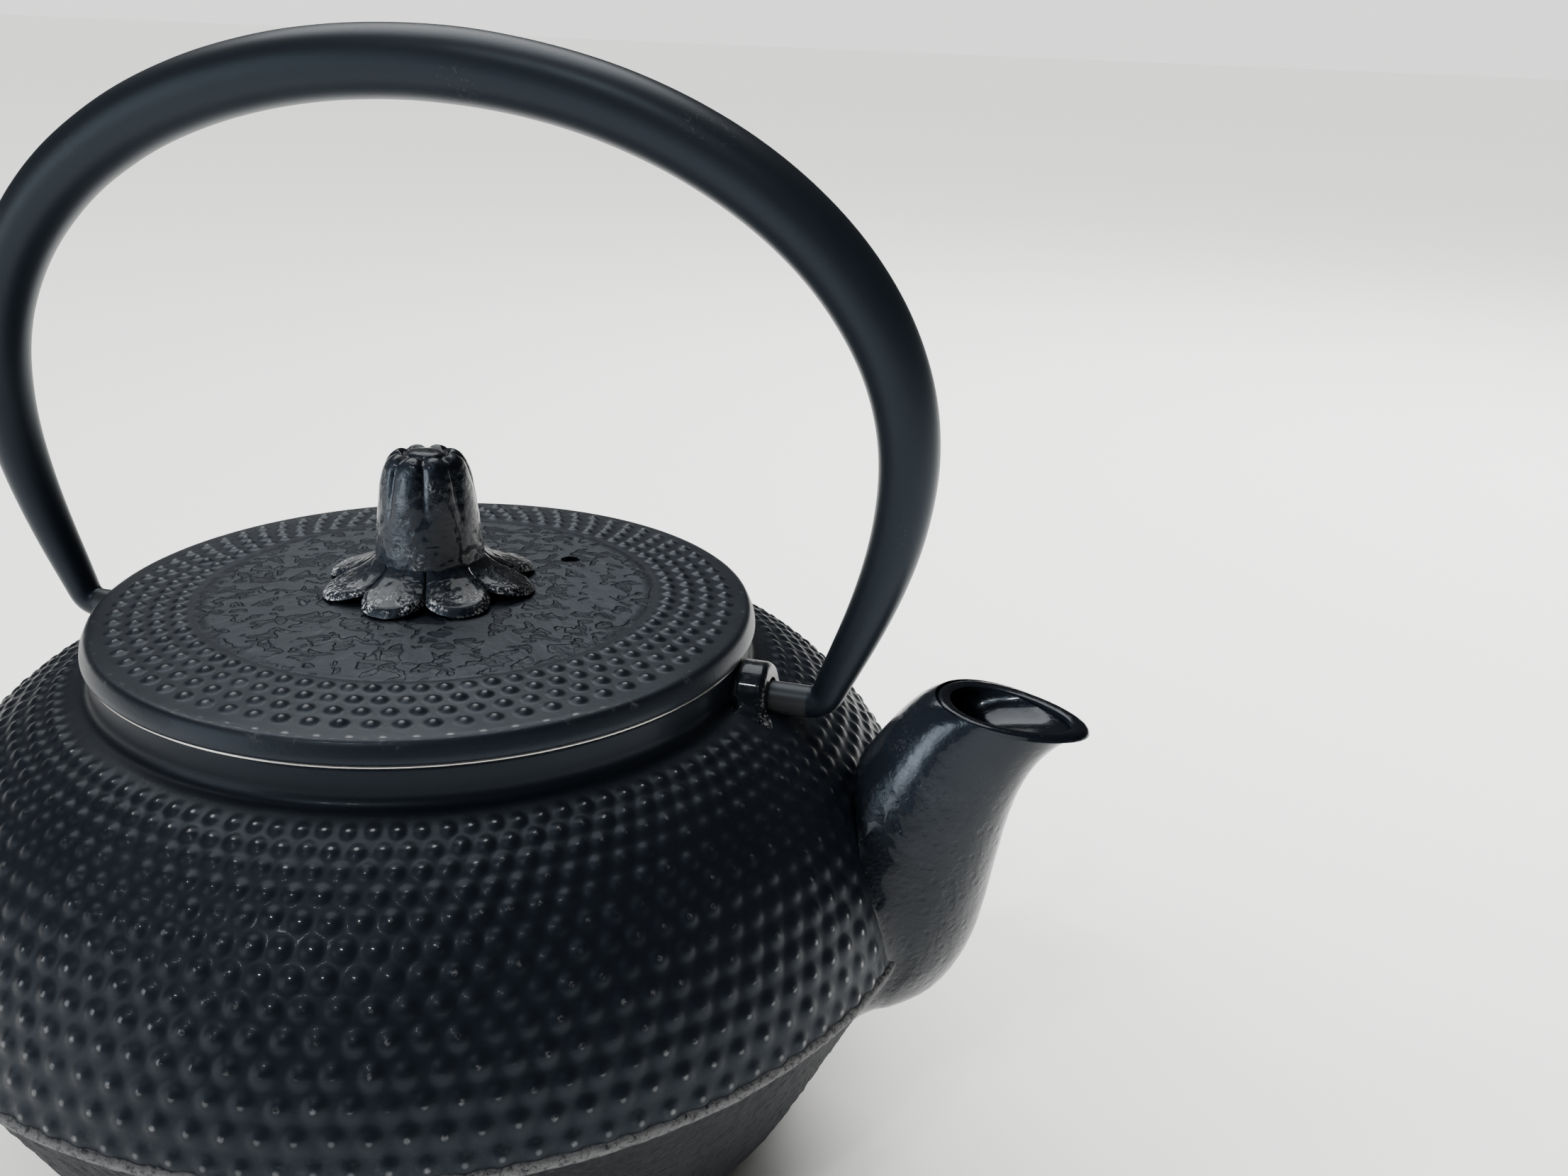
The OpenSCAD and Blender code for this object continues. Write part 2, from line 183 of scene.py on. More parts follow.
class StageSettings(bpy.types.PropertyGroup):
    """Camera and lights."""

    lens: FloatProperty(name="Lens", description="Focal length", default=33.3, min=10, unit="CAMERA")
    window: power("Window", "Power of the low window light", 3.4)
    day: strength("Daylight", "Strength of the wide light from behind", 3.3)
    lamps: strength("Lamps", "Strength of each small lamp overhead", 0.45)
    wash: strength("Paper wash", "Strength of the even light on the paper", 5.4)
    glint: power("Glint", "Power of the window seen in the gloss", 40)
    glow: power("Paper glow", "Power of the lamp behind the pot", 13)
    sky: strength("Room", "Strength of the even light of the room", 0.08)
    beyond: strength("Beyond", "Brightness of the wall behind the floor", 1.7)


# ---- shader maths ----


class Wire:
    """An output of a node. Arithmetic on it adds Math nodes to the same finish."""

    def __init__(self, finish, socket):
        self.finish, self.socket = finish, socket

    def math(self, operation, *values):
        """A Math node on the given values; self isn't added to them."""
        return self.finish.node("ShaderNodeMath", {"operation": operation}, dict(enumerate(values)))

    def __add__(self, other):
        return self.math("ADD", self, other)

    def __radd__(self, other):
        return self.math("ADD", other, self)

    def __sub__(self, other):
        return self.math("SUBTRACT", self, other)

    def __rsub__(self, other):
        return self.math("SUBTRACT", other, self)

    def __mul__(self, other):
        return self.math("MULTIPLY", self, other)

    def __rmul__(self, other):
        return self.math("MULTIPLY", other, self)

    def __truediv__(self, other):
        return self.math("DIVIDE", self, other)

    def __pow__(self, other):
        return self.math("POWER", self, other)

    def floor(self):
        """The whole number below."""
        return self.math("FLOOR", self)

    def root(self):
        """The square root."""
        return self.math("SQRT", self)

    def magnitude(self):
        """The number without its sign."""
        return self.math("ABSOLUTE", self)

    def under(self, other):
        """The lower of the two."""
        return self.math("MINIMUM", self, other)

    def over(self, other):
        """The higher of the two."""
        return self.math("MAXIMUM", self, other)

    def rise(self, start, end):
        """0 up to start, 1 from end on, smooth between. Falls instead if start is above end."""
        low, high = min(start, end), max(start, end)
        made = self.finish.node(
            "ShaderNodeMapRange",
            {"interpolation_type": "SMOOTHSTEP"},
            {0: self, 1: low, 2: high, 3: 0.0, 4: 1.0},
        )
        return made if start < end else 1 - made

    def mix(self, at_0, at_1):
        """Number from at_0 to at_1 as self goes from 0 to 1."""
        return at_0 + self * (at_1 - at_0)


class Finish:
    """One material and its nodes."""

    def __init__(self, name):
        self.material = bpy.data.materials.new(name)
        self.material.use_nodes = True
        self.tree = self.material.node_tree
        self.tree.nodes.clear()
        self.place = self.node("ShaderNodeTexCoord", output="Object")

    def node(self, kind, settings=(), inputs=(), output=0):
        """A node of that kind with its settings, then its inputs, as numbers or wires."""
        made = self.tree.nodes.new(kind)
        for key, value in dict(settings).items():
            setattr(made, key, value)
        for key, value in dict(inputs).items():
            if isinstance(value, Wire):
                self.tree.links.new(value.socket, made.inputs[key])
            else:
                made.inputs[key].default_value = value
        return Wire(self, made.outputs[output]) if made.outputs else None

    def axes(self):
        """The x, y and z of the surface point, in metres."""
        first = self.node("ShaderNodeSeparateXYZ", (), {0: self.place})
        return [Wire(self, socket) for socket in first.socket.node.outputs]

    def radius(self):
        """Distance from the pot's axis."""
        x, y, _ = self.axes()
        return (x * x + y * y).root()

    def noise(self, per_metre, detail=3.0, roughness=0.5, stretch=None, warp=0.0):
        """Noise from 0 to 1 with features of 1 / per_metre."""
        where = self.place
        if stretch:
            where = self.node("ShaderNodeVectorMath", {"operation": "MULTIPLY"}, {0: where, 1: stretch})
        inputs = {"Vector": where, "Scale": per_metre, "Detail": detail}
        inputs |= {"Roughness": roughness, "Distortion": warp}
        return self.node("ShaderNodeTexNoise", (), inputs, output=0)

    def cells(self, per_metre, feature="F1", jitter=1.0, where=None):
        """Distance to the nearest of scattered points."""
        inputs = {"Vector": where or self.place, "Scale": per_metre, "Randomness": jitter}
        return self.node("ShaderNodeTexVoronoi", {"feature": feature}, inputs, output="Distance")

    def blend(self, factor, first, second, way="MIX"):
        """Colour from first to second."""
        plain = lambda c: c if isinstance(c, Wire) else (*c, 1.0)
        inputs = {0: factor, 6: plain(first), 7: plain(second)}
        settings = {"data_type": "RGBA", "blend_type": way, "clamp_factor": True}
        return self.node("ShaderNodeMix", settings, inputs, output=2)

    def bump(self, height, distance, strength=1.0, on=None):
        """Normal bent by a height from 0 to 1 that stands for distance metres."""
        inputs = {"Height": height, "Distance": distance, "Strength": strength}
        if on:
            inputs["Normal"] = on
        return self.node("ShaderNodeBump", (), inputs)

    def surface(self, base, roughness, normal=None, **more):
        """The shader itself, joined to the output."""
        inputs = {"Base Color": base if isinstance(base, Wire) else (*base, 1.0), "Roughness": roughness}
        if normal:
            inputs["Normal"] = normal
        names = {key.replace("_", " ").title().replace("Ior", "IOR"): value for key, value in more.items()}
        shader = self.node("ShaderNodeBsdfPrincipled", (), inputs | names)
        self.node("ShaderNodeOutputMaterial", (), {0: shader})
        return self.material

    def dots(self, count, row_gap):
        """Distance from the nearest dot's centre, and a random number for each dot.

        Both distances are shares of the space between two dots of a ring."""
        x, y, _ = self.axes()
        row_place = self.node("ShaderNodeAttribute", {"attribute_name": "dot_row"}, output="Fac")
        row = (row_place + 0.5).floor()
        odd = row.math("MODULO", row, 2.0)
        turn = x.math("ARCTAN2", y, x) * (count / math.tau) + odd * 0.5 + 0.5
        number = turn.floor()
        across = turn - number - 0.5
        along = (row_place - row) * row_gap
        cell = self.node("ShaderNodeCombineXYZ", (), {0: number, 1: row})
        flat = {"noise_dimensions": "2D"}
        luck = self.node("ShaderNodeTexWhiteNoise", flat, {"Vector": cell}, output="Value")
        return (across * across + along * along).root(), luck


# ---- finishes ----

BLUISH = (0.7, 0.85, 1.0, 1.0)
WIRE_PITCH = 1.05 * MM


def fine_grain(finish, size, amount, on=None):
    """The faint orange skin of sprayed coating."""
    return finish.bump(finish.noise(1 / size, detail=4, roughness=0.6), amount, on=on)


def body_finish(colours, pot):
    """Satin coating over cast dots."""
    finish = Finish("coated_dots")
    _, _, z = finish.axes()
    apart, luck = finish.dots(pot.dots_round, pot.row_gap)
    cloud = finish.noise(90, detail=4)
    speck = finish.noise(2600, detail=2)
    tip = apart.rise(0.13, 0.03)
    rub = tip * luck.rise(0.45, 0.95) * speck.rise(0.4, 0.6)
    low = z.rise(pot.ridge_z + 6 * MM, pot.ridge_z + 1 * MM)
    scuffed = low * finish.noise(700, detail=5, roughness=0.65).rise(0.5, 0.68)
    base = finish.blend(cloud, colours.coat, [c * 1.5 for c in colours.coat])
    base = finish.blend(scuffed * 0.6, base, colours.skin)
    base = finish.blend(rub * 0.25, base, colours.wear)
    roughness = 0.33 + cloud * 0.14 + speck * 0.06 + scuffed * 0.15 - tip * 0.08
    normal = fine_grain(finish, 0.55 * MM, 0.018 * MM)
    return finish.surface(
        base, roughness, normal, coat_weight=tip * 0.8 + 0.02, coat_roughness=0.08,
        specular_ior_level=0.16, specular_tint=BLUISH,
    )


def rough_finish(colours, pot):
    """Bare, pitted casting skin of the underside, lighter on the ridge line."""
    finish = Finish("rough_underside")
    _, _, z = finish.axes()
    broad = finish.noise(160, detail=5, roughness=0.6)
    grit = finish.noise(1300, detail=6, roughness=0.7, warp=0.4)
    pits = finish.cells(700).rise(0.12, 0.5)
    line = (z - (pot.ridge_z + 0.1 * MM)).magnitude().rise(1.3 * MM, 0.5 * MM)
    base = finish.blend(broad.rise(0.35, 0.65) * 0.5, colours.coat, [c * 0.6 for c in colours.skin])
    base = finish.blend(grit.rise(0.45, 0.7) * 0.4, base, colours.skin)
    base = finish.blend(line * grit.rise(0.3, 0.55) * 0.45, base, colours.wear)
    normal = finish.bump(grit, 0.35 * MM)
    normal = finish.bump(pits, 0.14 * MM, on=normal)
    return finish.surface(base, broad.mix(0.5, 0.7), normal, specular_ior_level=0.15)


def gloss_finish(colours, name, pitted, speckle):
    """Glossy coating over pitted skin. pitted and speckle are functions of the finish that give masks."""
    finish = Finish(name)
    cloud = finish.noise(120, detail=4)
    fleck = finish.noise(1500, detail=5, roughness=0.65)
    rough = pitted(finish)
    worn = speckle(finish) * finish.noise(2300, detail=4, roughness=0.7).rise(0.5, 0.62)
    pits = finish.cells(650).rise(0.1, 0.42)
    base = finish.blend(cloud, colours.gloss, [c * 1.6 for c in colours.gloss])
    base = finish.blend(worn * 0.75, base, colours.wear)
    roughness = 0.07 + cloud * 0.06 + rough * 0.12 + worn * 0.12
    normal = finish.bump(fleck, rough.mix(0.02, 0.2) * MM)
    normal = finish.bump(pits.math("MAXIMUM", pits, 1 - rough), 0.09 * MM, on=normal)
    normal = finish.bump(finish.noise(260, detail=2), 0.05 * MM, on=normal)
    return finish.surface(
        base, roughness, normal, coat_weight=0.16 + cloud * 0.14, coat_roughness=0.05,
        specular_ior_level=0.12, specular_tint=BLUISH,
    )


def lid_finish(colours, lid):
    """Satin rim and dots, a rough grey disc with dark pits, and a rubbed edge."""
    finish = Finish("lid_coating")
    _, _, z = finish.axes()
    radius = finish.radius()
    top = z.rise(LID_Z + LID_EDGE - 0.3 * MM, LID_Z + LID_EDGE - 0.05 * MM)
    disc = radius.rise(32.6 * MM, 30.6 * MM) * radius.rise(12.5 * MM, 16.5 * MM) * top
    pit = finish.noise(430, detail=1.5, roughness=0.4, warp=0.7).rise(0.5, 0.42)
    skin_mask = disc * (1 - pit)
    apart, luck = finish.dots(lid.dots_round, 0.8)
    tip = apart.rise(0.16, 0.04) * radius.rise(32.8 * MM, 33.6 * MM)
    edge = radius.rise(46.0 * MM, 46.5 * MM) * radius.rise(47.1 * MM, 46.75 * MM)
    patch = finish.noise(160, detail=5, roughness=0.7).rise(0.54, 0.7)
    worn = edge * patch * finish.noise(1900, detail=5, roughness=0.7).rise(0.42, 0.58)
    cloud = finish.noise(110, detail=4)
    base = finish.blend(cloud, [c * 1.15 for c in colours.coat], [c * 1.7 for c in colours.coat])
    base = finish.blend(skin_mask * 0.8, base, [c * 1.5 for c in colours.skin])
    base = finish.blend(worn * 0.4, base, colours.wear)
    base = finish.blend(tip * luck.rise(0.4, 0.95) * 0.12, base, colours.wear)
    roughness = 0.36 + cloud * 0.14 + skin_mask * 0.16 + worn * 0.06 - tip * 0.08
    normal = fine_grain(finish, 0.6 * MM, 0.03 * MM)
    normal = finish.bump((1 - pit) * disc, 0.34 * MM, on=normal)
    normal = finish.bump(finish.noise(1500, detail=4) * disc, 0.1 * MM, on=normal)
    return finish.surface(
        base, roughness, normal, coat_weight=0.03 + tip * 0.4, coat_roughness=0.1,
        specular_ior_level=0.24, specular_tint=BLUISH,
    )


def bow_finish(colours):
    """Smooth satin coating of the handle, with faint rubs and greyer bent-in ends."""
    finish = Finish("bow_coating")
    cloud = finish.noise(45, detail=4)
    streak = finish.noise(900, detail=3, stretch=(0.25, 1.0, 0.25))
    rub = finish.noise(60, detail=2).rise(0.62, 0.7) * finish.noise(1900, detail=4).rise(0.58, 0.66)
    base = finish.blend(cloud, colours.grip, [c * 1.3 for c in colours.grip])
    base = finish.blend(rub * 0.06, base, colours.wear)
    x, _, z = finish.axes()
    # The bent-in ends get a greyer colour.
    grey_ends = x.magnitude().rise(57.3 * MM, 57.0 * MM) * z.rise(HINGE_Z + 3.2 * MM, HINGE_Z + 2.9 * MM)
    base = finish.blend(grey_ends * cloud.mix(0.4, 0.9), base, [c * 0.14 for c in colours.wear])
    roughness = 0.34 + cloud * 0.07 + streak * 0.05
    normal = finish.bump(finish.noise(1700, detail=3), 0.006 * MM)
    normal = finish.bump(streak, 0.006 * MM, on=normal)
    return finish.surface(base, roughness, normal, specular_ior_level=0.22, specular_tint=BLUISH)


def enamel_finish(colours):
    """Smooth glossy enamel with a faint ripple."""
    finish = Finish("black_enamel")
    ripple = finish.noise(240, detail=2)
    normal = finish.bump(ripple, 0.06 * MM)
    base = finish.blend(ripple, colours.enamel, [c * 1.8 for c in colours.enamel])
    return finish.surface(base, 0.08 + ripple * 0.06, normal, coat_weight=0.6, coat_roughness=0.04)


def steel_finish(colours):
    """Pressed stainless sheet, faintly brushed round the axis."""
    finish = Finish("pressed_steel")
    brushed = finish.noise(2400, detail=3, stretch=(0.2, 0.2, 3.0))
    cloud = finish.noise(130, detail=3)
    base = finish.blend(cloud, [c * 0.85 for c in colours.steel], colours.steel)
    roughness = 0.24 + brushed * 0.14
    normal = finish.bump(brushed, 0.006 * MM)
    return finish.surface(base, roughness, normal, metallic=1.0)


def mesh_finish(colours, flat):
    """Fine woven wire, with painted shade that darkens the wires towards the gaps. The gaps between its wires
    let light through.
    """
    finish = Finish("woven_floor" if flat else "woven_wall")
    x, y, z = finish.axes()
    if flat:
        first, second = x / WIRE_PITCH, y / WIRE_PITCH
    else:
        wires = round(math.tau * WALL_BOX[1].x / WIRE_PITCH)
        first, second = x.math("ARCTAN2", y, x) * (wires / math.tau), z / WIRE_PITCH
    wave = lambda v: (v - v.floor() - 0.5).magnitude() * 2
    one, other = wave(first), wave(second)
    gap = (1 - one).under(1 - other).rise(0.42, 0.52)
    high = one.over(other).rise(0.35, 1.0)
    # Painted shade: each wire darkens from its crest towards the gaps beside it.
    base = finish.blend(high, [c * 0.45 for c in colours.steel], colours.steel)
    normal = finish.bump(high, 0.12 * MM)
    return finish.surface(base, 0.3, normal, metallic=1.0, alpha=1 - gap)


def paper_finish(colours):
    """Pale matt paper, with painted shade that makes it a little darker far off."""
    finish = Finish("pale_paper")
    tone = finish.noise(3, detail=3)
    base = finish.blend(tone, colours.floor, [c * 0.985 for c in colours.floor])
    # Painted shade: the paper darkens with distance from the pot, as the light falls off.
    base = finish.blend(finish.radius().rise(0.5, 4.0), base, [c * 0.9 for c in colours.floor])
    normal = finish.bump(finish.noise(900, detail=3), 0.02 * MM)
    return finish.surface(base, 0.85 + tone * 0.1, normal, specular_ior_level=0.0)


# ---- mesh building ----


def lofted(name, rings, wrap=False):
    """Mesh through a row of closed rings.

    wrap joins the last ring to the first. Without it the two ends are closed."""
    rings = np.asarray(rings, float)
    rows, around = rings.shape[:2]
    index = np.arange(rows * around).reshape(rows, around)
    low, high = (index, np.roll(index, -1, axis=0)) if wrap else (index[:-1], index[1:])
    corners = [low, high, np.roll(high, -1, axis=1), np.roll(low, -1, axis=1)]
    faces = np.stack(corners, axis=-1).reshape(-1, 4).tolist()
    if not wrap:
        faces += [index[0].tolist(), index[-1][::-1].tolist()]
    mesh = bpy.data.meshes.new(name)
    mesh.from_pydata(rings.reshape(-1, 3).tolist(), [], faces)
    return mesh


def edited(mesh, work):
    """Runs work on the mesh as a bmesh, then turns its faces outward."""
    bm = bmesh.new()
    bm.from_mesh(mesh)
    work(bm)
    bmesh.ops.recalc_face_normals(bm, faces=bm.faces)
    bm.to_mesh(mesh)
    bm.free()


def piece(mesh, body, nodes, material, sharp=50):
    """Object of that mesh, riding on its body and standing for its CAD nodes."""
    edited(mesh, lambda bm: None)
    mesh.shade_smooth()
    mesh.set_sharp_from_angle(angle=math.radians(sharp))
    made = bpy.data.objects.new(mesh.name, mesh)
    bpy.context.scene.collection.objects.link(made)
    mesh.materials.append(material)
    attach(made, body)
    if nodes:
        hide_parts(*nodes)
    return made


def bore(bm, start, end, radius, margin):
    """Cuts a round hole from start to end through the two skins between them."""
    start, end = Vector(start), Vector(end)
    axis = (end - start).normalized()
    reach = (end - start).length

    def away(point):
        """Length along the hole, and the way out from its axis."""
        along = (point - start).dot(axis)
        return along, point - start - along * axis

    doomed = []
    for face in bm.faces:
        along, out = away(face.calc_center_median())
        if 0 < along < reach and out.length < radius + margin:
            doomed.append(face)
    bmesh.ops.delete(bm, geom=doomed, context="FACES")
    torn = [edge for edge in bm.edges if len(edge.link_faces) == 1]
    fresh = bmesh.ops.extrude_edge_only(bm, edges=torn)["geom"]
    for vert in (item for item in fresh if isinstance(item, bmesh.types.BMVert)):
        along, out = away(vert.co)
        vert.co = start + along * axis + out.normalized() * radius
    rims = [item for item in fresh if isinstance(item, bmesh.types.BMEdge)]
    rims = [edge for edge in rims if len(edge.link_faces) == 1]
    bmesh.ops.bridge_loops(bm, edges=rims)


def mix(a, b, t):
    """From a to b as t goes from 0 to 1."""
    return a + (b - a) * t


def bezier(points, t):
    """Points of a quadratic or cubic Bezier curve at each t."""
    t = np.asarray(t, float)[:, None]
    p = [np.asarray(point, float) for point in points]
    if len(p) == 3:
        return (1 - t) ** 2 * p[0] + 2 * (1 - t) * t * p[1] + t**2 * p[2]
    return (1 - t) ** 3 * p[0] + 3 * (1 - t) ** 2 * t * p[1] + 3 * (1 - t) * t**2 * p[2] + t**3 * p[3]


def smooth(value, start, end):
    """0 up to start and 1 from end on, smooth between."""
    t = np.clip((value - start) / (end - start), 0, 1)
    return t * t * (3 - 2 * t)


def grain(points, size, octaves=3, seed=0.0):
    """Noise from about -1 to 1 at each point, with features of that size."""
    shift = Vector((seed, seed * 1.7, seed * 0.3))
    return np.array([noise.fractal(Vector(p) / size + shift, 1.0, 2.0, octaves) for p in points])


def travelled(line):
    """Length of the line up to each of its points."""
    return np.concatenate([[0], np.cumsum(np.linalg.norm(np.diff(line, axis=0), axis=1))])


def along_line(line, places):
    """Points at those lengths along the line, and the normals to its right."""
    gone = travelled(line)
    at = lambda s: np.stack([np.interp(s, gone, line[:, k]) for k in (0, 1)], axis=-1)
    places = np.asarray(places, float)
    nudge = 0.25 * MM
    heading = at(places + nudge) - at(places - nudge)
    heading /= np.linalg.norm(heading, axis=1)[:, None]
    return at(places), np.stack([heading[:, 1], -heading[:, 0]], axis=-1)


def revolved(outline, around):
    """Rings of a body of revolution from (radius, height) points."""
    angle = np.arange(around) * math.tau / around
    r, z = outline[:, 0, None], outline[:, 1, None]
    return np.stack([r * np.cos(angle), r * np.sin(angle), z + 0 * angle], axis=-1)


# ---- pot ----

SHOULDER_POWER = 1.65
NECK_FILLET = 2 * MM
CONE_OUT = 6.5 * MM


def shoulder_r(pot):
    """Radius of the shoulder at the ridge, under the ridge line."""
    return pot.body_r - pot.ridge_proud


def cone_line(pot, low, high, count):
    """The sloping underside between two heights."""
    z = np.linspace(low, high, count)
    return np.stack([mix(pot.base_r + CONE_OUT, shoulder_r(pot), z / pot.ridge_z), z], axis=-1)


def shoulder_line(pot):
    """Outline of the shoulder from the ridge to the start of the neck's fillet."""
    a = np.linspace(0, math.pi / 2, 700)
    wide = shoulder_r(pot) - NECK_R
    r = NECK_R + wide * np.cos(a) ** (2 / SHOULDER_POWER)
    z = pot.ridge_z + (HINGE_Z - pot.ridge_z) * np.sin(a) ** (2 / SHOULDER_POWER)
    keep = r > NECK_R + NECK_FILLET
    return np.stack([r[keep], z[keep]], axis=-1)


def pot_outline(pot):
    """Whole outside outline from the base up to the neck."""
    return np.concatenate([cone_line(pot, 0, pot.ridge_z * 0.99, 60), shoulder_line(pot)])


def outside(points, outline):
    """Distance of each point from the surface that the outline sweeps, positive outside it."""
    rz = np.stack([np.hypot(points[:, 0], points[:, 1]), points[:, 2]], axis=-1)
    step = np.diff(outline, axis=0)
    gap = rz[:, None] - outline[None, :-1]
    t = np.clip((gap * step).sum(-1) / (step * step).sum(-1), 0, 1)
    gap = gap - t[..., None] * step
    distance = np.linalg.norm(gap, axis=-1)
    best = distance.argmin(axis=1)
    every = np.arange(len(points))
    right = np.stack([step[:, 1], -step[:, 0]], axis=-1)
    side = np.sign((gap[every, best] * right[best]).sum(-1))
    return distance[every, best] * side


def dot_shape(apart, width):
    """Height of a dot, from 0 to 1, at a distance from its centre."""
    return np.maximum(0, 1 - (apart / width) ** 2) ** 1.35


def spout_shadow(pot, spout, points):
    """1 where the spout and its soft edge cover the body, 0 well away from it."""
    back, front = spout_lines(pot, spout)
    middle = (back[0] + front[0]) / 2
    along = (front[0] - back[0]) / np.linalg.norm(front[0] - back[0])

    def polar(where):
        """Turn and distance of each point round the middle of the spout's root."""
        flat = (where[:, [0, 2]] - middle) @ along
        return np.arctan2(where[:, 1], flat), np.hypot(flat, where[:, 1])

    turn, reach = polar(spout_foot(pot, spout)[2])
    order = np.argsort(turn)
    point_turn, point_reach = polar(points)
    inside = point_reach / np.interp(point_turn, turn[order], reach[order], period=math.tau)
    return np.where(points[:, 0] > 0, 1 - smooth(inside, 0.98, 1.16), 0)


def lug_shadow(pot, points):
    """1 where an ear covers the body, 0 well away from it."""
    out = (np.abs(points[:, 0]) - NECK_R - 2 * MM) / (9.5 * MM)
    near = np.hypot(points[:, 1] / (pot.lug_r + 5 * MM), out)
    return 1 - smooth(near, 0.75, 1.15)


def dot_rows(pot, line):
    """Length along the shoulder of each ring of dots."""
    gone = travelled(line)
    rows, place = [], 1.9 * MM
    while True:
        r = np.interp(place, gone, line[:, 0])
        if r < NECK_R + 2.7 * MM:
            return np.array(rows)
        rows.append(place)
        place += pot.row_gap * math.tau * r / pot.dots_round


def pot_shoulder(pot, spout):
    """The dotted shoulder with its neck, as one closed shell."""
    across_dot, along_dot = 10, 7
    around = pot.dots_round * across_dot
    line = shoulder_line(pot)
    rows = dot_rows(pot, line)
    numbers = np.concatenate([
        np.linspace(-0.55, 0, 4)[:-1], np.arange((len(rows) - 1) * along_dot + 1) / along_dot,
        len(rows) - 1 + np.linspace(0, 0.8, 5)[1:],
    ])
    gap = np.diff(rows)
    stretch = np.concatenate([[rows[0] - gap[0]], rows, [rows[-1] + gap[-1]]])
    places = np.interp(numbers, np.arange(-1, len(rows) + 1), stretch)
    places[0] = 0
    outer, right = along_line(line, places)
    last = line[-1]
    neck = bezier([last, (NECK_R, last[1]), (NECK_R, last[1] + NECK_FILLET)], np.linspace(0, 1, 7))
    rim_corner = [(NECK_R, RIM_Z - 0.5 * MM), (NECK_R, RIM_Z), (NECK_R - 0.5 * MM, RIM_Z)]
    rim = bezier(rim_corner, np.linspace(0, 1, 4))
    lip = pot.mouth_r + 0.3 * MM
    inside_top = [(lip, RIM_Z), (pot.mouth_r, RIM_Z - 0.3 * MM), (pot.mouth_r, HINGE_Z - pot.wall)]
    inner, inner_right = along_line(line, np.linspace(travelled(line)[-1] * 0.97, 0, 9))
    inner = inner - inner_right * pot.wall
    outline = np.concatenate([outer, neck, rim, inside_top, inner])
    rings = revolved(outline, around)

    count = len(outer)
    skin = rings[:count].reshape(-1, 3)
    row_place = np.repeat(numbers, around)
    row = np.floor(row_place + 0.5)
    turn = np.arctan2(skin[:, 1], skin[:, 0]) * pot.dots_round / math.tau + (row % 2) * 0.5 + 0.5
    number = np.floor(turn)
    pitch = math.tau * np.hypot(skin[:, 0], skin[:, 1]) / pot.dots_round
    luck = np.random.default_rng(11)
    high = luck.normal(1, 0.1, (len(rows) + 2, pot.dots_round))
    slide = luck.normal(0, 0.025, (2, len(rows) + 2, pot.dots_round))
    pick = (row.astype(int) % (len(rows) + 2), number.astype(int) % pot.dots_round)
    across = turn - number - 0.5 - slide[0][pick]
    along = (row_place - row) * pot.row_gap - slide[1][pick]
    apart = np.hypot(across, along)
    cover = np.maximum(spout_shadow(pot, spout, skin), lug_shadow(pot, skin))
    real = (row >= 0) & (row < len(rows))
    lift = dot_shape(apart, pot.dot_width) * pitch * pot.dot_height * high[pick] * (1 - cover) * real
    wave = grain(skin, 14 * MM, 2) * 0.07 * MM + grain(skin, 2.4 * MM, 3, 5.0) * 0.035 * MM
    wave = wave * np.repeat(smooth(places, 0, 1.5 * MM), around)
    normal = np.repeat(right, around, axis=0)
    turned = np.tile(np.arange(around) * math.tau / around, count)
    way = np.stack([normal[:, 0] * np.cos(turned), normal[:, 0] * np.sin(turned), normal[:, 1]], axis=-1)
    rings[:count] = (skin + way * (lift + wave)[:, None]).reshape(count, around, 3)

    mesh = lofted("pot_shoulder", rings, wrap=True)
    numbers_all = np.concatenate([numbers, np.full(len(outline) - count, len(rows) + 3.5)])
    layer = mesh.attributes.new("dot_row", "FLOAT", "POINT")
    layer.data.foreach_set("value", np.repeat(numbers_all, around).astype(np.float32))
    return mesh


def spout_hole(pot, spout):
    """The two ends of the round way from the pot into the spout."""
    back = spout_lines(pot, spout)[0][0]
    foot = np.array([pot.body_r - 4.5 * MM, pot.ridge_z - 5.2 * MM])
    middle, slope = (back + foot) / 2, foot - back
    way = np.array([-slope[1], slope[0]]) / np.linalg.norm(slope)
    start, end = middle - way * 14 * MM, middle + way * 16 * MM
    return (start[0], 0, start[1]), (end[0], 0, end[1])


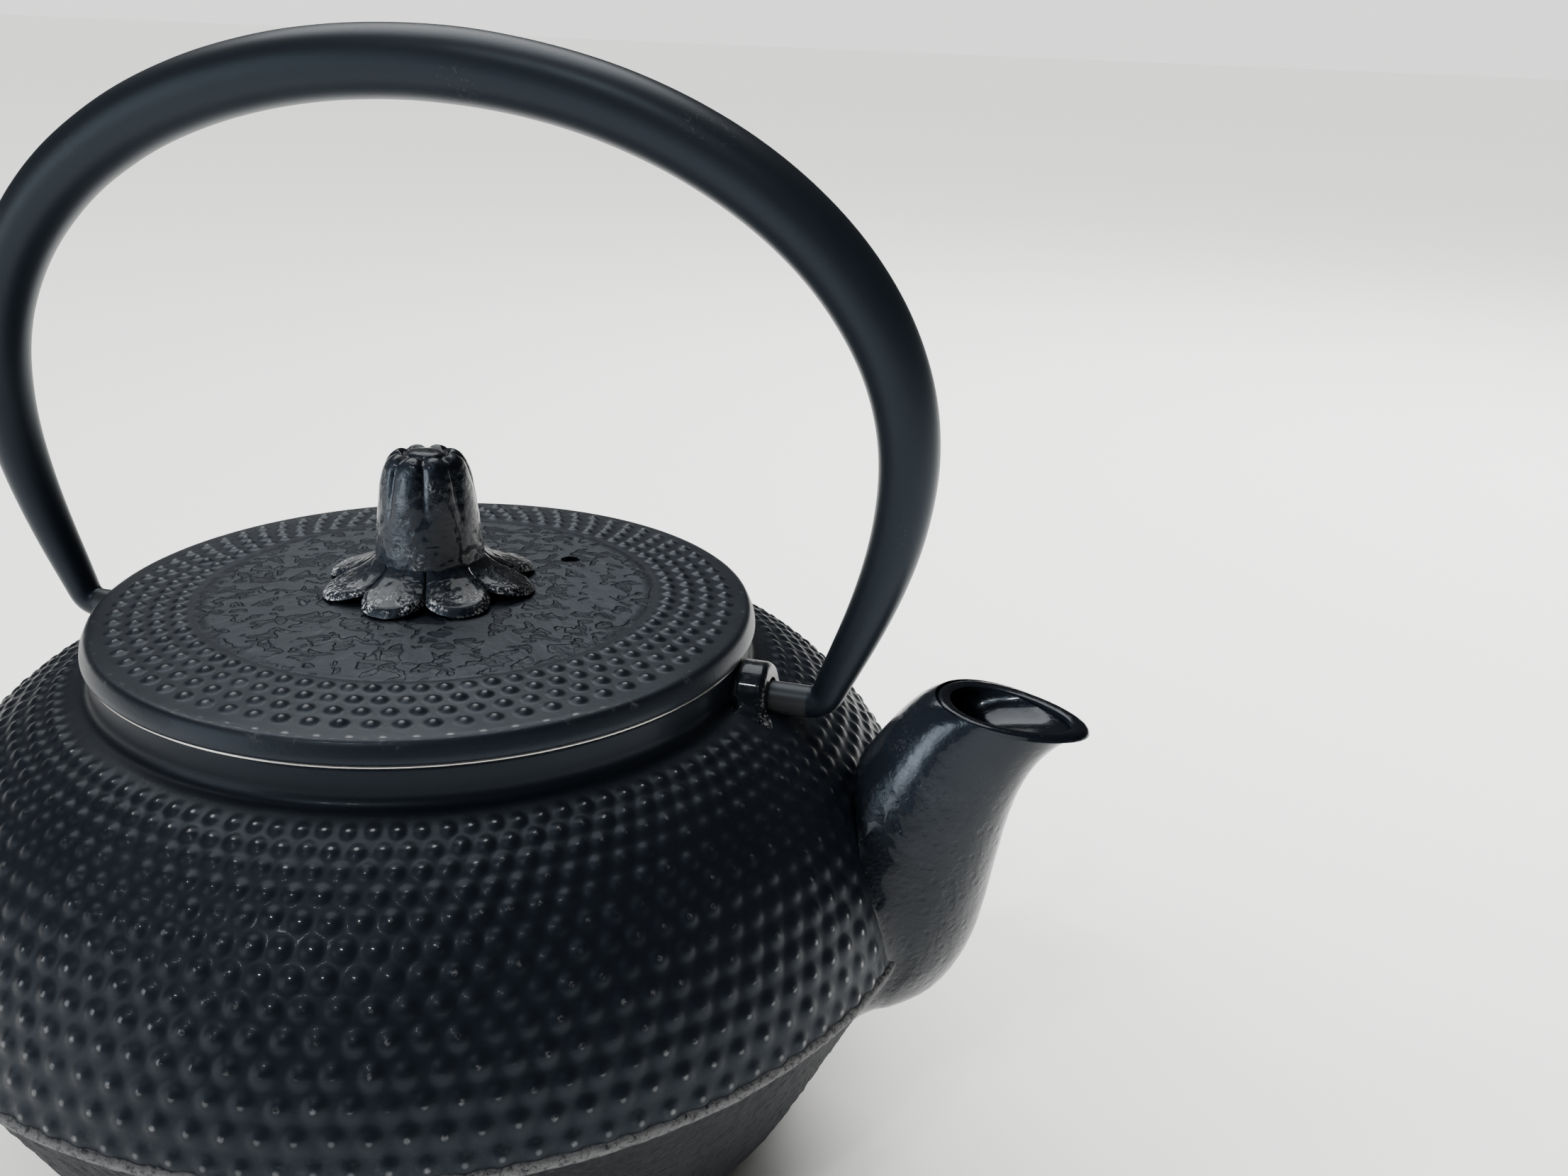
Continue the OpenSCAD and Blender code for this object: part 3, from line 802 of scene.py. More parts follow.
def pot_underside(pot):
    """The ridge line and the rough sloping underside with the base, as one closed shell."""
    around = 720
    proud, line_w = pot.ridge_proud, 1.6 * MM
    out = shoulder_r(pot)
    bead = [
        (out - 1.2 * MM, pot.ridge_z + line_w * 0.75), (out + 0.02 * MM, pot.ridge_z + line_w * 0.5),
        (out + proud * 0.75, pot.ridge_z + line_w * 0.34), (out + proud, pot.ridge_z + line_w * 0.05),
        (out + proud * 0.8, pot.ridge_z - line_w * 0.3), (out + proud * 0.15, pot.ridge_z - line_w * 0.6),
    ]
    slope = cone_line(pot, 8 * MM, pot.ridge_z - 1.6 * MM, 34)[::-1]
    foot = [slope[-1], (pot.base_r + CONE_OUT, 0), (pot.base_r, 0)]
    corner = bezier(foot, np.linspace(0, 1, 8))[1:]
    floor = [(pot.base_r * part, 0) for part in (0.97, 0.8, 0.5, 0.05)]
    inner_floor = [(pot.base_r * 0.05, pot.wall), (pot.base_r * 0.8, pot.wall), (pot.base_r, pot.wall * 1.15)]
    inner_slope = cone_line(pot, 10 * MM, pot.ridge_z - 0.2 * MM, 6) - (pot.wall * 0.98, -pot.wall * 0.3)
    outline = np.array([*bead, *slope, *corner, *floor, *inner_floor, *inner_slope])
    rings = revolved(outline, around)
    count = len(bead) + len(slope) + len(corner)
    skin = rings[:count].reshape(-1, 3)
    rough = grain(skin, 1.6 * MM, 4) * 0.22 * MM + grain(skin, 7 * MM, 2, 3.0) * 0.16 * MM
    weight = np.ones(count) * 0.9
    weight[: len(bead)] = (0, 0.15, 0.3, 0.3, 0.35, 0.5)
    weight[-len(corner):] = 0.25
    weight[-2:] = 0
    flat = np.hypot(skin[:, 0], skin[:, 1])[:, None]
    way = np.concatenate([skin[:, :2] / flat, np.full((len(skin), 1), -0.35)], axis=-1)
    push = np.minimum(rough, 0.2 * MM) * np.repeat(weight, around)
    rings[:count] = (skin + way * push[:, None]).reshape(count, around, 3)
    return lofted("pot_underside", rings, wrap=True)


def pot_lug(pot, side, name):
    """An ear with its hole, its rubbed rim and a soft foot on the shoulder."""
    outline = pot_outline(pot)
    foot_w, drop = pot.lug_r + 3.2 * MM, 9.5 * MM
    face_x, back_x = NECK_R + pot.lug_out, NECK_R - 1.2 * MM
    arch = [(foot_w, -drop)]
    lean = math.asin(min(1, (foot_w - pot.lug_r) / drop * 0.9))
    for a in np.linspace(-lean, math.pi + lean, 60):
        arch.append((pot.lug_r * math.cos(a), pot.lug_r * math.sin(a)))
    arch.append((-foot_w, -drop))
    arch = np.array(arch)
    sides = [np.linspace(arch[k], arch[k + 1], n + 1)[:-1] for k, n in ((0, 16), (-2, 16))]
    low = np.linspace(arch[-1], arch[0], 20)[:-1]
    loop = np.concatenate([sides[0], arch[1:-1], sides[1], low])
    around = len(loop)
    angle = np.arctan2(loop[:, 1], loop[:, 0])
    hole = np.stack([np.cos(angle), np.sin(angle)], axis=-1)
    spread = np.linalg.norm(loop, axis=1)[:, None]

    def ring(x, inset, hole_share=0.0, hole_r=pot.bore_r):
        """The loop at x, moved in by inset, then part of the way to the hole."""
        flat = mix(loop * (1 - inset / spread), hole * hole_r, hole_share)
        return np.stack([np.full(around, x), flat[:, 0], HINGE_Z + flat[:, 1]], axis=-1)

    edge = 0.9 * MM
    rings = [ring(x, 0) for x in np.linspace(back_x, face_x - edge, 12)]
    for a in np.linspace(0.2, 1.57, 5):
        rings.append(ring(face_x - edge * (1 - math.sin(a)), edge * (1 - math.cos(a))))
    flared = len(rings)
    rings += [ring(face_x, edge, s) for s in (0.25, 0.5, 0.75, 0.92)]
    soft = 0.35 * MM
    rings += [ring(face_x - soft * 0.3, edge, 1, pot.bore_r + soft * 0.3), ring(face_x - soft, edge, 1)]
    rings += [ring(x, edge, 1) for x in np.linspace(face_x - 1.5 * MM, NECK_R + 1.2 * MM, 4)]
    rings = np.array(rings)
    points = rings[:flared].reshape(-1, 3)
    away = outside(points, outline)
    fillet = 2.2 * MM
    t = np.clip(1 - away / fillet, 0, 1)
    flare = fillet * (1 - np.sqrt(1 - t * t))
    flat = np.tile(hole, (flared, 1))
    flat[:, 1] = np.minimum(flat[:, 1], 0)
    points[:, 1] += flat[:, 0] * flare * 0.8
    points[:, 0] += flare * 0.55 * smooth(points[:, 0], face_x - 3 * MM, face_x - 1 * MM)
    rings[:flared] = points.reshape(flared, around, 3)
    everything = rings.reshape(-1, 3)
    everything += (grain(everything, 3 * MM, 3, 9.0) * 0.09 * MM)[:, None] * np.array([1.0, 0.3, 0.3])
    high = np.maximum(0, everything[:, 2] - HINGE_Z + 5 * MM)
    everything[:, 0] -= 0.13 * high * smooth(everything[:, 0], NECK_R + 1 * MM, face_x - 1 * MM)
    under_lid = (everything[:, 2] > RIM_Z) & (everything[:, 0] < LID_BOX[1].x + 0.5 * MM)
    everything[under_lid, 2] = RIM_Z
    everything[:, 0] *= side
    return lofted(name, everything.reshape(rings.shape))


# ---- spout ----


def spout_lines(pot, spout):
    """The spout's back and front lines as four control points each, in the plane y = 0."""
    top = LID_Z + LID_EDGE
    foot_z = pot.ridge_z - 14.7 * MM
    foot_r = mix(pot.base_r + CONE_OUT, shoulder_r(pot), foot_z / pot.ridge_z)
    root_back = np.array([pot.body_r - 16.5 * MM, mix(pot.ridge_z, HINGE_Z, 0.48)])
    root_front = np.array([foot_r - 1.5 * MM, foot_z])
    mouth_back = np.array([pot.body_r, top - 3.9 * MM])
    tip = np.array([pot.body_r + spout.reach, top - 6.6 * MM])
    back = [root_back, mix(root_back, mouth_back, 0.42), mouth_back - (5 * MM, 1.4 * MM), mouth_back]
    front = [
        root_front,
        np.array([pot.body_r + spout.reach * 0.93, foot_z + 2.5 * MM]),
        np.array([pot.body_r + spout.reach * 0.095, tip[1] - 8.9 * MM]),
        tip,
    ]
    return back, front


def spout_points(pot, spout, t, angle, back_in=0.0, front_in=0.0, side_in=0.0):
    """Points of the spout at t from root to mouth and at an angle round it, moved in by the insets."""
    back_line, front_line = spout_lines(pot, spout)
    back, front = bezier(back_line, t), bezier(front_line, t)
    span = np.linalg.norm(front - back, axis=1)
    along = back_in + (span - back_in - front_in) * (1 + np.cos(angle)) / 2
    half = mix(spout.root_w, spout.mouth_w, 1 - np.maximum(1 - t, 0) ** 1.6) / 2 - side_in
    egg = 0.18 * t**3
    flat = back + (front - back) * (along / span)[:, None]
    return np.stack([flat[:, 0], half * np.sin(angle) * (1 - egg * np.cos(angle)), flat[:, 1]], axis=-1)


SPOUT_AROUND = 128


def first_past(pot, spout, angle, depth):
    """The t at which each line along the spout first comes that far out of the body."""
    trial = np.linspace(0, 0.95, 140)
    found = np.zeros(len(angle))
    for k, a in enumerate(angle):
        away = outside(spout_points(pot, spout, trial, np.full(len(trial), a)), pot_outline(pot)) - depth[k]
        out = max(int(np.argmax(away > 0)), 1)
        before, after = away[out - 1], away[out]
        found[k] = mix(trial[out - 1], trial[out], np.clip(-before / (after - before), 0, 1))
    return found


def body_normal(pot, points):
    """Direction away from the body at each point."""
    nudge = 0.02 * MM
    outline = pot_outline(pot)
    gain = lambda axis: outside(points + nudge * axis, outline) - outside(points - nudge * axis, outline)
    slope = np.stack([gain(axis) for axis in np.eye(3)], axis=-1)
    return slope / np.linalg.norm(slope, axis=1)[:, None]


def spout_foot(pot, spout):
    """Where the soft join leaves the spout, the corner it rounds, and where it meets the body."""
    angle = np.arange(SPOUT_AROUND) * math.tau / SPOUT_AROUND
    soft = mix(spout.fillet, spout.fillet * 0.75, (1 + np.cos(angle)) / 2)
    leave = first_past(pot, spout, angle, soft * 0.8)
    top = spout_points(pot, spout, leave, angle)
    corner = spout_points(pot, spout, first_past(pot, spout, angle, soft * 0), angle)
    up = body_normal(pot, corner)
    away = corner - top
    away -= up * (away * up).sum(-1)[:, None]
    away /= np.maximum(np.linalg.norm(away, axis=1), 1e-9)[:, None]
    meet = corner + away * soft[:, None]
    for _ in range(3):
        meet = meet - body_normal(pot, meet) * outside(meet, pot_outline(pot))[:, None]
    return leave, corner, meet


def spout_mesh(pot, spout):
    """The spout with its channel, its dished lip and a soft join with the body."""
    around, steps = SPOUT_AROUND, 64
    outline = pot_outline(pot)
    angle = np.arange(around) * math.tau / around

    def insets(t):
        """How far the channel stays inside the spout's back, front and sides."""
        dish = smooth(t, 0.4, 0.8) * (1 - smooth(t, 0.84, 1.0))
        return (
            mix(spout.wall, 1.9 * MM, t), mix(spout.wall, 2.4 * MM, t) + dish * 6 * MM,
            mix(spout.wall, 1.9 * MM, t) + dish * 1.3 * MM,
        )

    leave, corner, meet = spout_foot(pot, spout)
    top = spout_points(pot, spout, leave, angle)
    up = body_normal(pot, meet)
    outer = [meet - up * 0.7 * MM, meet - up * 0.06 * MM]
    for s in np.linspace(0, 1, 13)[1:-1]:
        outer.append((1 - s) ** 2 * meet + 2 * s * (1 - s) * corner + s * s * top)
    for u in np.linspace(0, 1, steps):
        outer.append(spout_points(pot, spout, leave + (1 - leave) * u, angle))
    outer = np.array(outer)

    trial = np.linspace(0, 0.9, 60)
    start = np.zeros(around)
    for k, a in enumerate(angle):
        place = outside(spout_points(pot, spout, trial, np.full(60, a), *insets(trial)), outline)
        start[k] = trial[max(int(np.argmax(place > -1.5 * MM)) - 1, 0)]
    inner = []
    for u in np.linspace(0, 1, 40):
        t = start + (1 - start) * u
        inner.append(spout_points(pot, spout, t, angle, *insets(t)))
    inner = np.array(inner)

    points = outer.reshape(-1, 3)
    centre = np.repeat(outer.mean(axis=1), around, axis=0)
    way = points - centre
    way /= np.linalg.norm(way, axis=1)[:, None]
    rough = grain(points, 1.3 * MM, 4) * 0.1 * MM + grain(points, 9 * MM, 2, 4.0) * 0.16 * MM
    low = 1 - smooth(points[:, 2], 48 * MM, 66 * MM)
    ease = np.repeat(smooth(np.arange(len(outer)), 1, 12), around)
    points = points + way * (rough * mix(0.25, 1.0, low) * ease)[:, None]
    outer = points.reshape(outer.shape)

    mouth, inside = outer[-1], inner[-1]
    toward = inside - mouth
    thick = np.linalg.norm(toward, axis=1)[:, None]
    toward /= thick
    edge = 0.85 * MM
    upward = np.array([0, 0, 1.0])
    rounding = []
    for a in (0.35, 0.8, 1.2, 1.57):
        rounding.append(mouth + toward * edge * (1 - math.cos(a)) - upward * edge * (1 - math.sin(a)) * 0.9)
    lip = [inside - toward * edge * 0.7, inside - upward * edge * 0.25]
    outer[-1] -= upward * edge * 0.9
    inner[-1] -= upward * edge
    rings = np.concatenate([outer, rounding, lip, inner[::-1]])
    return lofted("spout_shell", rings, wrap=True)


# ---- bow ----


def bow_mesh(bow):
    """The bow with its bent-in ends, thick in the hand and thin at the ears."""
    sides = 44
    pin_r = bow.pin_d / 2
    side_x = bow.elbow_x + 9.8 * MM
    side_z = HINGE_Z + bow.rise * 0.42
    top_z = HINGE_Z + bow.rise
    leg = pin_r * 0.95
    lean = math.radians(22)
    up = np.array([math.sin(lean), math.cos(lean)])
    elbow = np.array([bow.elbow_x, HINGE_Z])
    start = elbow + leg * up
    upper = [(0, top_z), (side_x * 0.565, top_z), (side_x, mix(side_z, top_z, 0.56)), (side_x, side_z)]
    lower = [(side_x, side_z), (side_x, mix(HINGE_Z, side_z, 0.64)), start + 9.8 * MM * up, start]
    half = np.concatenate([
        bezier(upper, np.linspace(0, 1, 70)), bezier(lower, np.linspace(0, 1, 50))[1:],
        bezier([start, elbow, elbow - (leg, 0)], np.linspace(0, 1, 12))[1:],
        [(x, HINGE_Z) for x in np.linspace(elbow[0] - leg - 0.8 * MM, NECK_R + 1.8 * MM, 7)],
    ])
    line = np.concatenate([(half * (-1, 1))[:0:-1], half])
    heading = np.gradient(line, axis=0)
    heading /= np.linalg.norm(heading, axis=1)[:, None]
    normal = np.stack([-heading[:, 1], heading[:, 0]], axis=-1)
    thin = np.maximum(0, 1 - (line[:, 1] - HINGE_Z) / bow.rise) ** 2.2
    radius = mix(bow.grip_d / 2, pin_r - 0.05 * MM, thin)
    radius[[0, -1]] -= 0.4 * MM
    angle = np.arange(sides) * math.tau / sides
    rings = []
    for centre, out, r in zip(line, normal, radius):
        x = centre[0] + out[0] * r * np.cos(angle)
        z = centre[1] + out[1] * r * np.cos(angle)
        rings.append(np.stack([x, -r * np.sin(angle), z], axis=-1))
    rings = np.array(rings)
    points = rings.reshape(-1, 3)
    middle = np.repeat(np.stack([line[:, 0], 0 * line[:, 0], line[:, 1]], axis=-1), sides, axis=0)
    way = (points - middle) / np.maximum(np.linalg.norm(points - middle, axis=1), 1e-6)[:, None]
    points = points + way * (grain(points, 16 * MM, 2, 2.0) * 0.06 * MM)[:, None]
    return lofted("bow_handle", points.reshape(rings.shape))


# ---- lid ----


def crown_z(lid, r):
    """Height of the lid's top at a radius."""
    edge_r = lid.lid_r - 1 * MM
    return LID_Z + LID_EDGE + lid.crown * (1 - (r / edge_r) ** 2)


def lid_mesh(lid):
    """The lid with its rings of dots, rough disc, vent hole and locating ring."""
    around = lid.dots_round * 12
    top_r = lid.lid_r - 1 * MM
    inner_dot_r = lid.first_dot_r - (lid.dot_rows - 1) * lid.dot_gap
    seat = 6.0 * MM
    radii = np.concatenate([
        np.linspace(seat, 16 * MM, 8)[:-1], np.linspace(16 * MM, inner_dot_r - 2 * MM, 31)[:-1],
        np.linspace(inner_dot_r - 2 * MM, lid.first_dot_r + 1.6 * MM, 50),
        [lid.first_dot_r + 2.3 * MM, lid.first_dot_r + 2.9 * MM],
    ])
    top = np.stack([radii, crown_z(lid, radii)], axis=-1)
    top[:, 1] -= 0.4 * MM * (1 - smooth(radii, 7.5 * MM, 10 * MM))
    edge = [
        (top_r - 0.15 * MM, crown_z(lid, top_r) - 0.06 * MM),
        (top_r + 0.18 * MM, LID_Z + LID_EDGE - 0.3 * MM),
        (mix(lid.lid_r, top_r, 0.6), LID_Z + LID_EDGE - 0.75 * MM),
        (lid.lid_r - 0.12 * MM, LID_Z + 1.2 * MM),
        (lid.lid_r, LID_Z + 0.5 * MM), (lid.lid_r, LID_Z + 0.25 * MM), (lid.lid_r - 0.25 * MM, LID_Z),
    ]
    skirt_out = WALL_BOX[1].x - 1.5 * MM
    skirt_in = skirt_out - 2.5 * MM
    skirt_z = LID_BOX[0].z
    under_z = LID_Z + LID_EDGE - 0.8 * MM
    under = [
        (skirt_out + 0.4 * MM, LID_Z), (skirt_out, LID_Z - 0.5 * MM), (skirt_out, skirt_z + 0.4 * MM),
        (skirt_out - 0.4 * MM, skirt_z), (skirt_in + 0.4 * MM, skirt_z), (skirt_in, skirt_z + 0.4 * MM),
        (skirt_in - 0.3 * MM, LID_Z), (skirt_in - 2 * MM, under_z),
        *[(r * MM, under_z) for r in (31, 26, 25, 24.3, 23.6, 22.9, 22.2, 21.5, 20.8, 20, 6.5)],
    ]
    outline = np.concatenate([top, edge, under])
    rings = revolved(outline, around)
    count = len(top)
    skin = rings[:count].reshape(-1, 3)
    r = np.hypot(skin[:, 0], skin[:, 1])
    row_place = (lid.first_dot_r - r) / lid.dot_gap
    row = np.floor(row_place + 0.5)
    turn = np.arctan2(skin[:, 1], skin[:, 0]) * lid.dots_round / math.tau + (row % 2) * 0.5 + 0.5
    number = np.floor(turn)
    luck = np.random.default_rng(5)
    high = luck.normal(1, 0.12, (lid.dot_rows, lid.dots_round))
    pick = (row.astype(int) % lid.dot_rows, number.astype(int) % lid.dots_round)
    apart = np.hypot((turn - number - 0.5) * math.tau * r / lid.dots_round, (row_place - row) * lid.dot_gap)
    real = (row >= 0) & (row < lid.dot_rows)
    lift = dot_shape(apart, lid.dot_r) * lid.dot_height * high[pick] * real
    disc = (1 - smooth(r, 31.4 * MM, 32.8 * MM)) * smooth(r, 12 * MM, 16 * MM)
    lift += disc * (grain(skin, 2.6 * MM, 3, 1.0) * 0.12 * MM + grain(skin, 1.0 * MM, 2, 7.0) * 0.05 * MM)
    lift -= (1 - smooth(r, 32.0 * MM, 33.4 * MM)) * 0.12 * MM
    lift += grain(skin, 11 * MM, 2, 8.0) * 0.07 * MM
    dent_x, dent_y = 11 * MM, 28 * MM
    dent_gap = np.hypot(skin[:, 0] - dent_x, skin[:, 1] - dent_y)
    lift -= dot_shape(dent_gap, 1 * MM) * 0.5 * MM
    skin[:, 2] += lift
    rings[:count] = skin.reshape(count, around, 3)
    mesh = lofted("lid_cover", rings)
    layer = mesh.attributes.new("dot_row", "FLOAT", "POINT")
    every = (lid.first_dot_r - np.hypot(rings[..., 0], rings[..., 1])) / lid.dot_gap
    every[count:] = -3.5
    layer.data.foreach_set("value", every.reshape(-1).astype(np.float32))
    vent = (14.7 * MM, 17.3 * MM)
    low, high_z = LID_Z, LID_Z + LID_EDGE + lid.crown + 2 * MM
    edited(mesh, lambda bm: bore(bm, (*vent, low), (*vent, high_z), lid.vent_d / 2, 0.45 * MM))
    return mesh


# ---- knob ----


def knob_mesh(lid):
    """The bud: lobes round a flat boss, with grooves that fade towards the waist, and its stem."""
    around = 200
    angle = np.arange(around) * math.tau / around
    seat_z = crown_z(lid, 0) - 0.4 * MM
    tall = KNOB_BOX[1].z - seat_z
    waist = lid.knob_r
    side = np.array([
        (0.0, 1.08), (0.1, 1.075), (0.2, 1.06), (0.3, 1.03), (0.4, 1.0), (0.5, 0.975), (0.62, 0.94),
        (0.72, 0.9), (0.8, 0.86), (0.88, 0.805), (0.93, 0.755), (0.965, 0.69), (0.985, 0.6), (0.998, 0.5),
    ])
    fine = np.linspace(0, 1, 64) ** 0.85
    place = np.interp(fine, np.linspace(0, 1, len(side)), np.arange(len(side)))
    shape = np.stack([np.interp(place, np.arange(len(side)), side[:, k]) for k in (0, 1)], axis=-1)
    for _ in range(6):
        shape[1:-1] = (shape[:-2] + 2 * shape[1:-1] + shape[2:]) / 4
    z = seat_z + shape[:, 0] * tall
    r = shape[:, 1] * waist
    cap_r = np.linspace(r[-1], 0.3 * MM, 22)[1:]
    z = np.concatenate([z, np.full(len(cap_r), z[-1])])
    r = np.concatenate([r, cap_r])
    step = math.tau / lid.lobes
    off = np.abs((angle + step / 2) % step - step / 2)
    groove_off = step / 2 - off
    rings = []
    boss = 2.6 * MM
    for ring_r, ring_z in zip(r, z):
        up = (ring_z - seat_z) / tall
        deep = smooth(up, 0.42, 0.86)
        groove = np.exp(-((groove_off * ring_r / (0.55 * MM)) ** 2))
        bulge = np.cos(off * lid.lobes / 2) ** 2
        cut = groove * deep * 0.5 * MM * smooth(ring_r, boss * 0.95, boss * 1.3)
        out = ring_r * (1 + 0.03 * deep * bulge) - cut
        height = np.full(around, ring_z)
        if up > 0.93:
            on_top = smooth(up, 0.93, 1.0)
            dip = np.exp(-(((ring_r - boss * 1.12) / (0.55 * MM)) ** 2)) * 0.45 * MM
            radial = groove * 0.35 * MM * smooth(ring_r, boss * 0.9, boss * 1.35)
            dome = 0.35 * MM * (1 - (ring_r / boss) ** 2) if ring_r < boss else 0
            lobe = 0.16 * MM * math.exp(-(((ring_r - 4.2 * MM) / (0.9 * MM)) ** 2)) * bulge
            height = height + on_top * (dome + lobe - dip - radial)
        oval = 1 + 0.1 * np.cos(2 * angle) * (1 - smooth(ring_r, boss, boss * 1.8))
        rings.append(np.stack([out * oval * np.cos(angle), out * oval * np.sin(angle), height], axis=-1))
    under = seat_z - 3.8 * MM
    circle = np.stack([np.cos(angle), np.sin(angle)], axis=-1)
    level = lambda wide, z: np.column_stack([circle * wide, np.full(around, z)])
    rivet = [(1.6 * MM, under - 1.4 * MM), (3.2 * MM, under - 0.7 * MM), (3.6 * MM, under)]
    stem = [(2.5 * MM, under + 0.02 * MM), (2.5 * MM, seat_z)]
    tail = [level(*ring) for ring in rivet + stem]
    rings = np.array(tail + rings)
    points = rings.reshape(-1, 3)
    way = points * (1, 1, 0)
    way /= np.maximum(np.linalg.norm(way, axis=1), 1e-6)[:, None]
    bumpy = grain(points, 1.1 * MM, 3, 6.0) * 0.06 * MM + grain(points, 4.5 * MM, 2, 2.5) * 0.1 * MM
    points = points + way * (bumpy * (points[:, 2] > seat_z + 1 * MM))[:, None]
    return lofted("knob_bud", points.reshape(rings.shape))


def petals_mesh(lid):
    """A skirt round the foot of the bud that splits into thin drooping tongues, open underneath."""
    seat_z = crown_z(lid, 0) - 0.4 * MM
    around, deep = 72, 16
    tip_r, root_r = lid.knob_r * 2.12, 3 * MM
    centre, half = (tip_r + root_r) / 2, (tip_r - root_r) / 2
    luck = np.random.default_rng(3)
    line_r = np.array([3.0, 7.0, 8.0, 9.0, 10.5, 12.0, 13.6, 15.0, 15.7]) * MM
    line_z = np.array([6.4, 5.6, 4.5, 3.75, 3.05, 2.55, 2.0, 1.4, 1.05]) * MM
    petal_thick, root_share = 1.15 * MM, 0.06
    whole = bmesh.new()
    for number in range(lid.lobes):
        t = np.arange(around) * math.tau / around
        x = np.cos(t)
        tongue = 4.75 * MM * (1 + 0.03 * luck.normal())
        shape_y = np.sign(np.sin(t)) * np.abs(np.sin(t)) ** 0.86
        wide = np.minimum((centre + half * x) * math.tan(math.pi / lid.lobes) + 0.15 * MM, tongue)
        rings = []
        outward = np.linspace(root_share, 1, deep)
        levels = [(q, True) for q in outward] + [(q, False) for q in outward[::-1][1:]]
        tilt = luck.normal() * 0.03
        drop = luck.normal() * 0.15 * MM
        for q, on_top in levels:
            px = centre + half * x * q
            py = wide * shape_y * q
            across = py / wide
            sag = mix(0.45 * MM, 0.8 * MM, smooth(px, 9 * MM, 12 * MM))
            upper = seat_z + np.interp(px, line_r, line_z) - sag * across**2
            upper += drop * smooth(px, 9 * MM, 14 * MM)
            upper += 0.22 * MM * math.exp(-(((q - 0.86) / 0.09) ** 2)) * smooth(px, 10 * MM, 12 * MM)
            upper += tilt * py * smooth(px, 10 * MM, 12 * MM)
            full = math.sqrt(max(0, 1 - q**8))
            z = upper if on_top else upper - (petal_thick * full + 0.02 * MM)
            z = z - petal_thick / 2 * (1 - full)
            z = np.maximum(z, seat_z - 0.1 * MM)
            rings.append(np.stack([px, py, z], axis=-1))
        rings = np.array(rings)
        points = rings.reshape(-1, 3)
        points[:, 2] += grain(points + number, 1.2 * MM, 3, 3.3) * 0.07 * MM
        a = number * math.tau / lid.lobes
        turned = points.copy()
        turned[:, 0] = points[:, 0] * math.cos(a) - points[:, 1] * math.sin(a)
        turned[:, 1] = points[:, 0] * math.sin(a) + points[:, 1] * math.cos(a)
        one = lofted("petal", turned.reshape(rings.shape))
        whole.from_mesh(one)
        bpy.data.meshes.remove(one)
    mesh = bpy.data.meshes.new("knob_petals")
    whole.to_mesh(mesh)
    whole.free()
    return mesh


# ---- infuser ----


def flange_mesh():
    """Pressed flange with a rolled edge, and the collar that holds the mesh."""
    out, collar_low = FLANGE_BOX[1].x, FLANGE_BOX[0].z
    inner = WALL_BOX[1].x
    mid, half = (LID_Z + RIM_Z) / 2, SHEET / 2
    edge = [(out - half + half * math.sin(a), mid - half * math.cos(a)) for a in np.linspace(0, math.pi, 7)]
    outline = [
        (inner, collar_low), (inner + SHEET * 0.9, collar_low), (inner + SHEET, collar_low + 0.3 * MM),
        (inner + SHEET, RIM_Z - 0.5 * MM), (inner + SHEET + 0.15 * MM, RIM_Z - 0.15 * MM),
        (inner + SHEET + 0.5 * MM, RIM_Z), (out - 3 * MM, RIM_Z), *edge, (out - 3 * MM, LID_Z),
        (inner + 0.6 * MM, LID_Z), (inner + 0.15 * MM, LID_Z - 0.2 * MM), (inner, LID_Z - 0.7 * MM),
    ]
    return lofted("infuser_flange", revolved(np.array(outline), 256), wrap=True)


def mesh_wall():
    """The woven wall as a thin sheet with a lapped seam."""
    low, high = WALL_BOX[0].z, WALL_BOX[1].z
    out = WALL_BOX[1].x
    thick, rows = 0.3 * MM, 24
    z = np.linspace(low, high, rows)
    outer = np.stack([np.full(rows, out - 0.05 * MM), z], axis=-1)
    inner = np.stack([np.full(rows, out - thick), z[::-1]], axis=-1)
    rings = revolved(np.concatenate([outer, inner]), 240)
    angle = np.arctan2(rings[..., 1], rings[..., 0])
    seam_angle, seam_half, seam_step = 2.4, 0.05, 0.0045
    seam = 1 - seam_step * (np.abs(angle - seam_angle) < seam_half)
    rings[..., :2] *= seam[..., None]
    return lofted("woven_wall", rings, wrap=True)


def band_mesh():
    """The band that holds the floor of the infuser, with its rolled foot."""
    low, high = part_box("infuser_base_band")
    out, inner = high.x, WALL_BOX[1].x
    outline = [
        (inner, high.z), (out - 0.12 * MM, high.z), (out, high.z - 0.2 * MM), (out, low.z + 0.5 * MM),
        (out - 0.15 * MM, low.z + 0.12 * MM), (out - 0.5 * MM, low.z), (inner - 1.2 * MM, low.z),
        (inner - 1.2 * MM, low.z + 0.2 * MM), (inner, low.z + 0.25 * MM),
    ]
    return lofted("infuser_band", revolved(np.array(outline), 256), wrap=True)


def mesh_floor():
    """The woven floor, pressed into a shallow dish with two steps."""
    low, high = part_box("infuser_floor")
    out = high.x
    radii = np.linspace(0.5 * MM, out, 40)
    outer_step = 0.25 * MM * smooth(radii, out * 0.72, out * 0.78)
    inner_step = 0.12 * MM * smooth(radii, out * 0.3, out * 0.34)
    z = low.z + 0.22 * MM + outer_step - inner_step
    top = np.stack([radii, z + 0.12 * MM], axis=-1)
    under = np.stack([radii, z - 0.1 * MM], axis=-1)[::-1]
    return lofted("woven_floor", revolved(np.concatenate([top, under]), 200), wrap=True)


# ---- operators ----


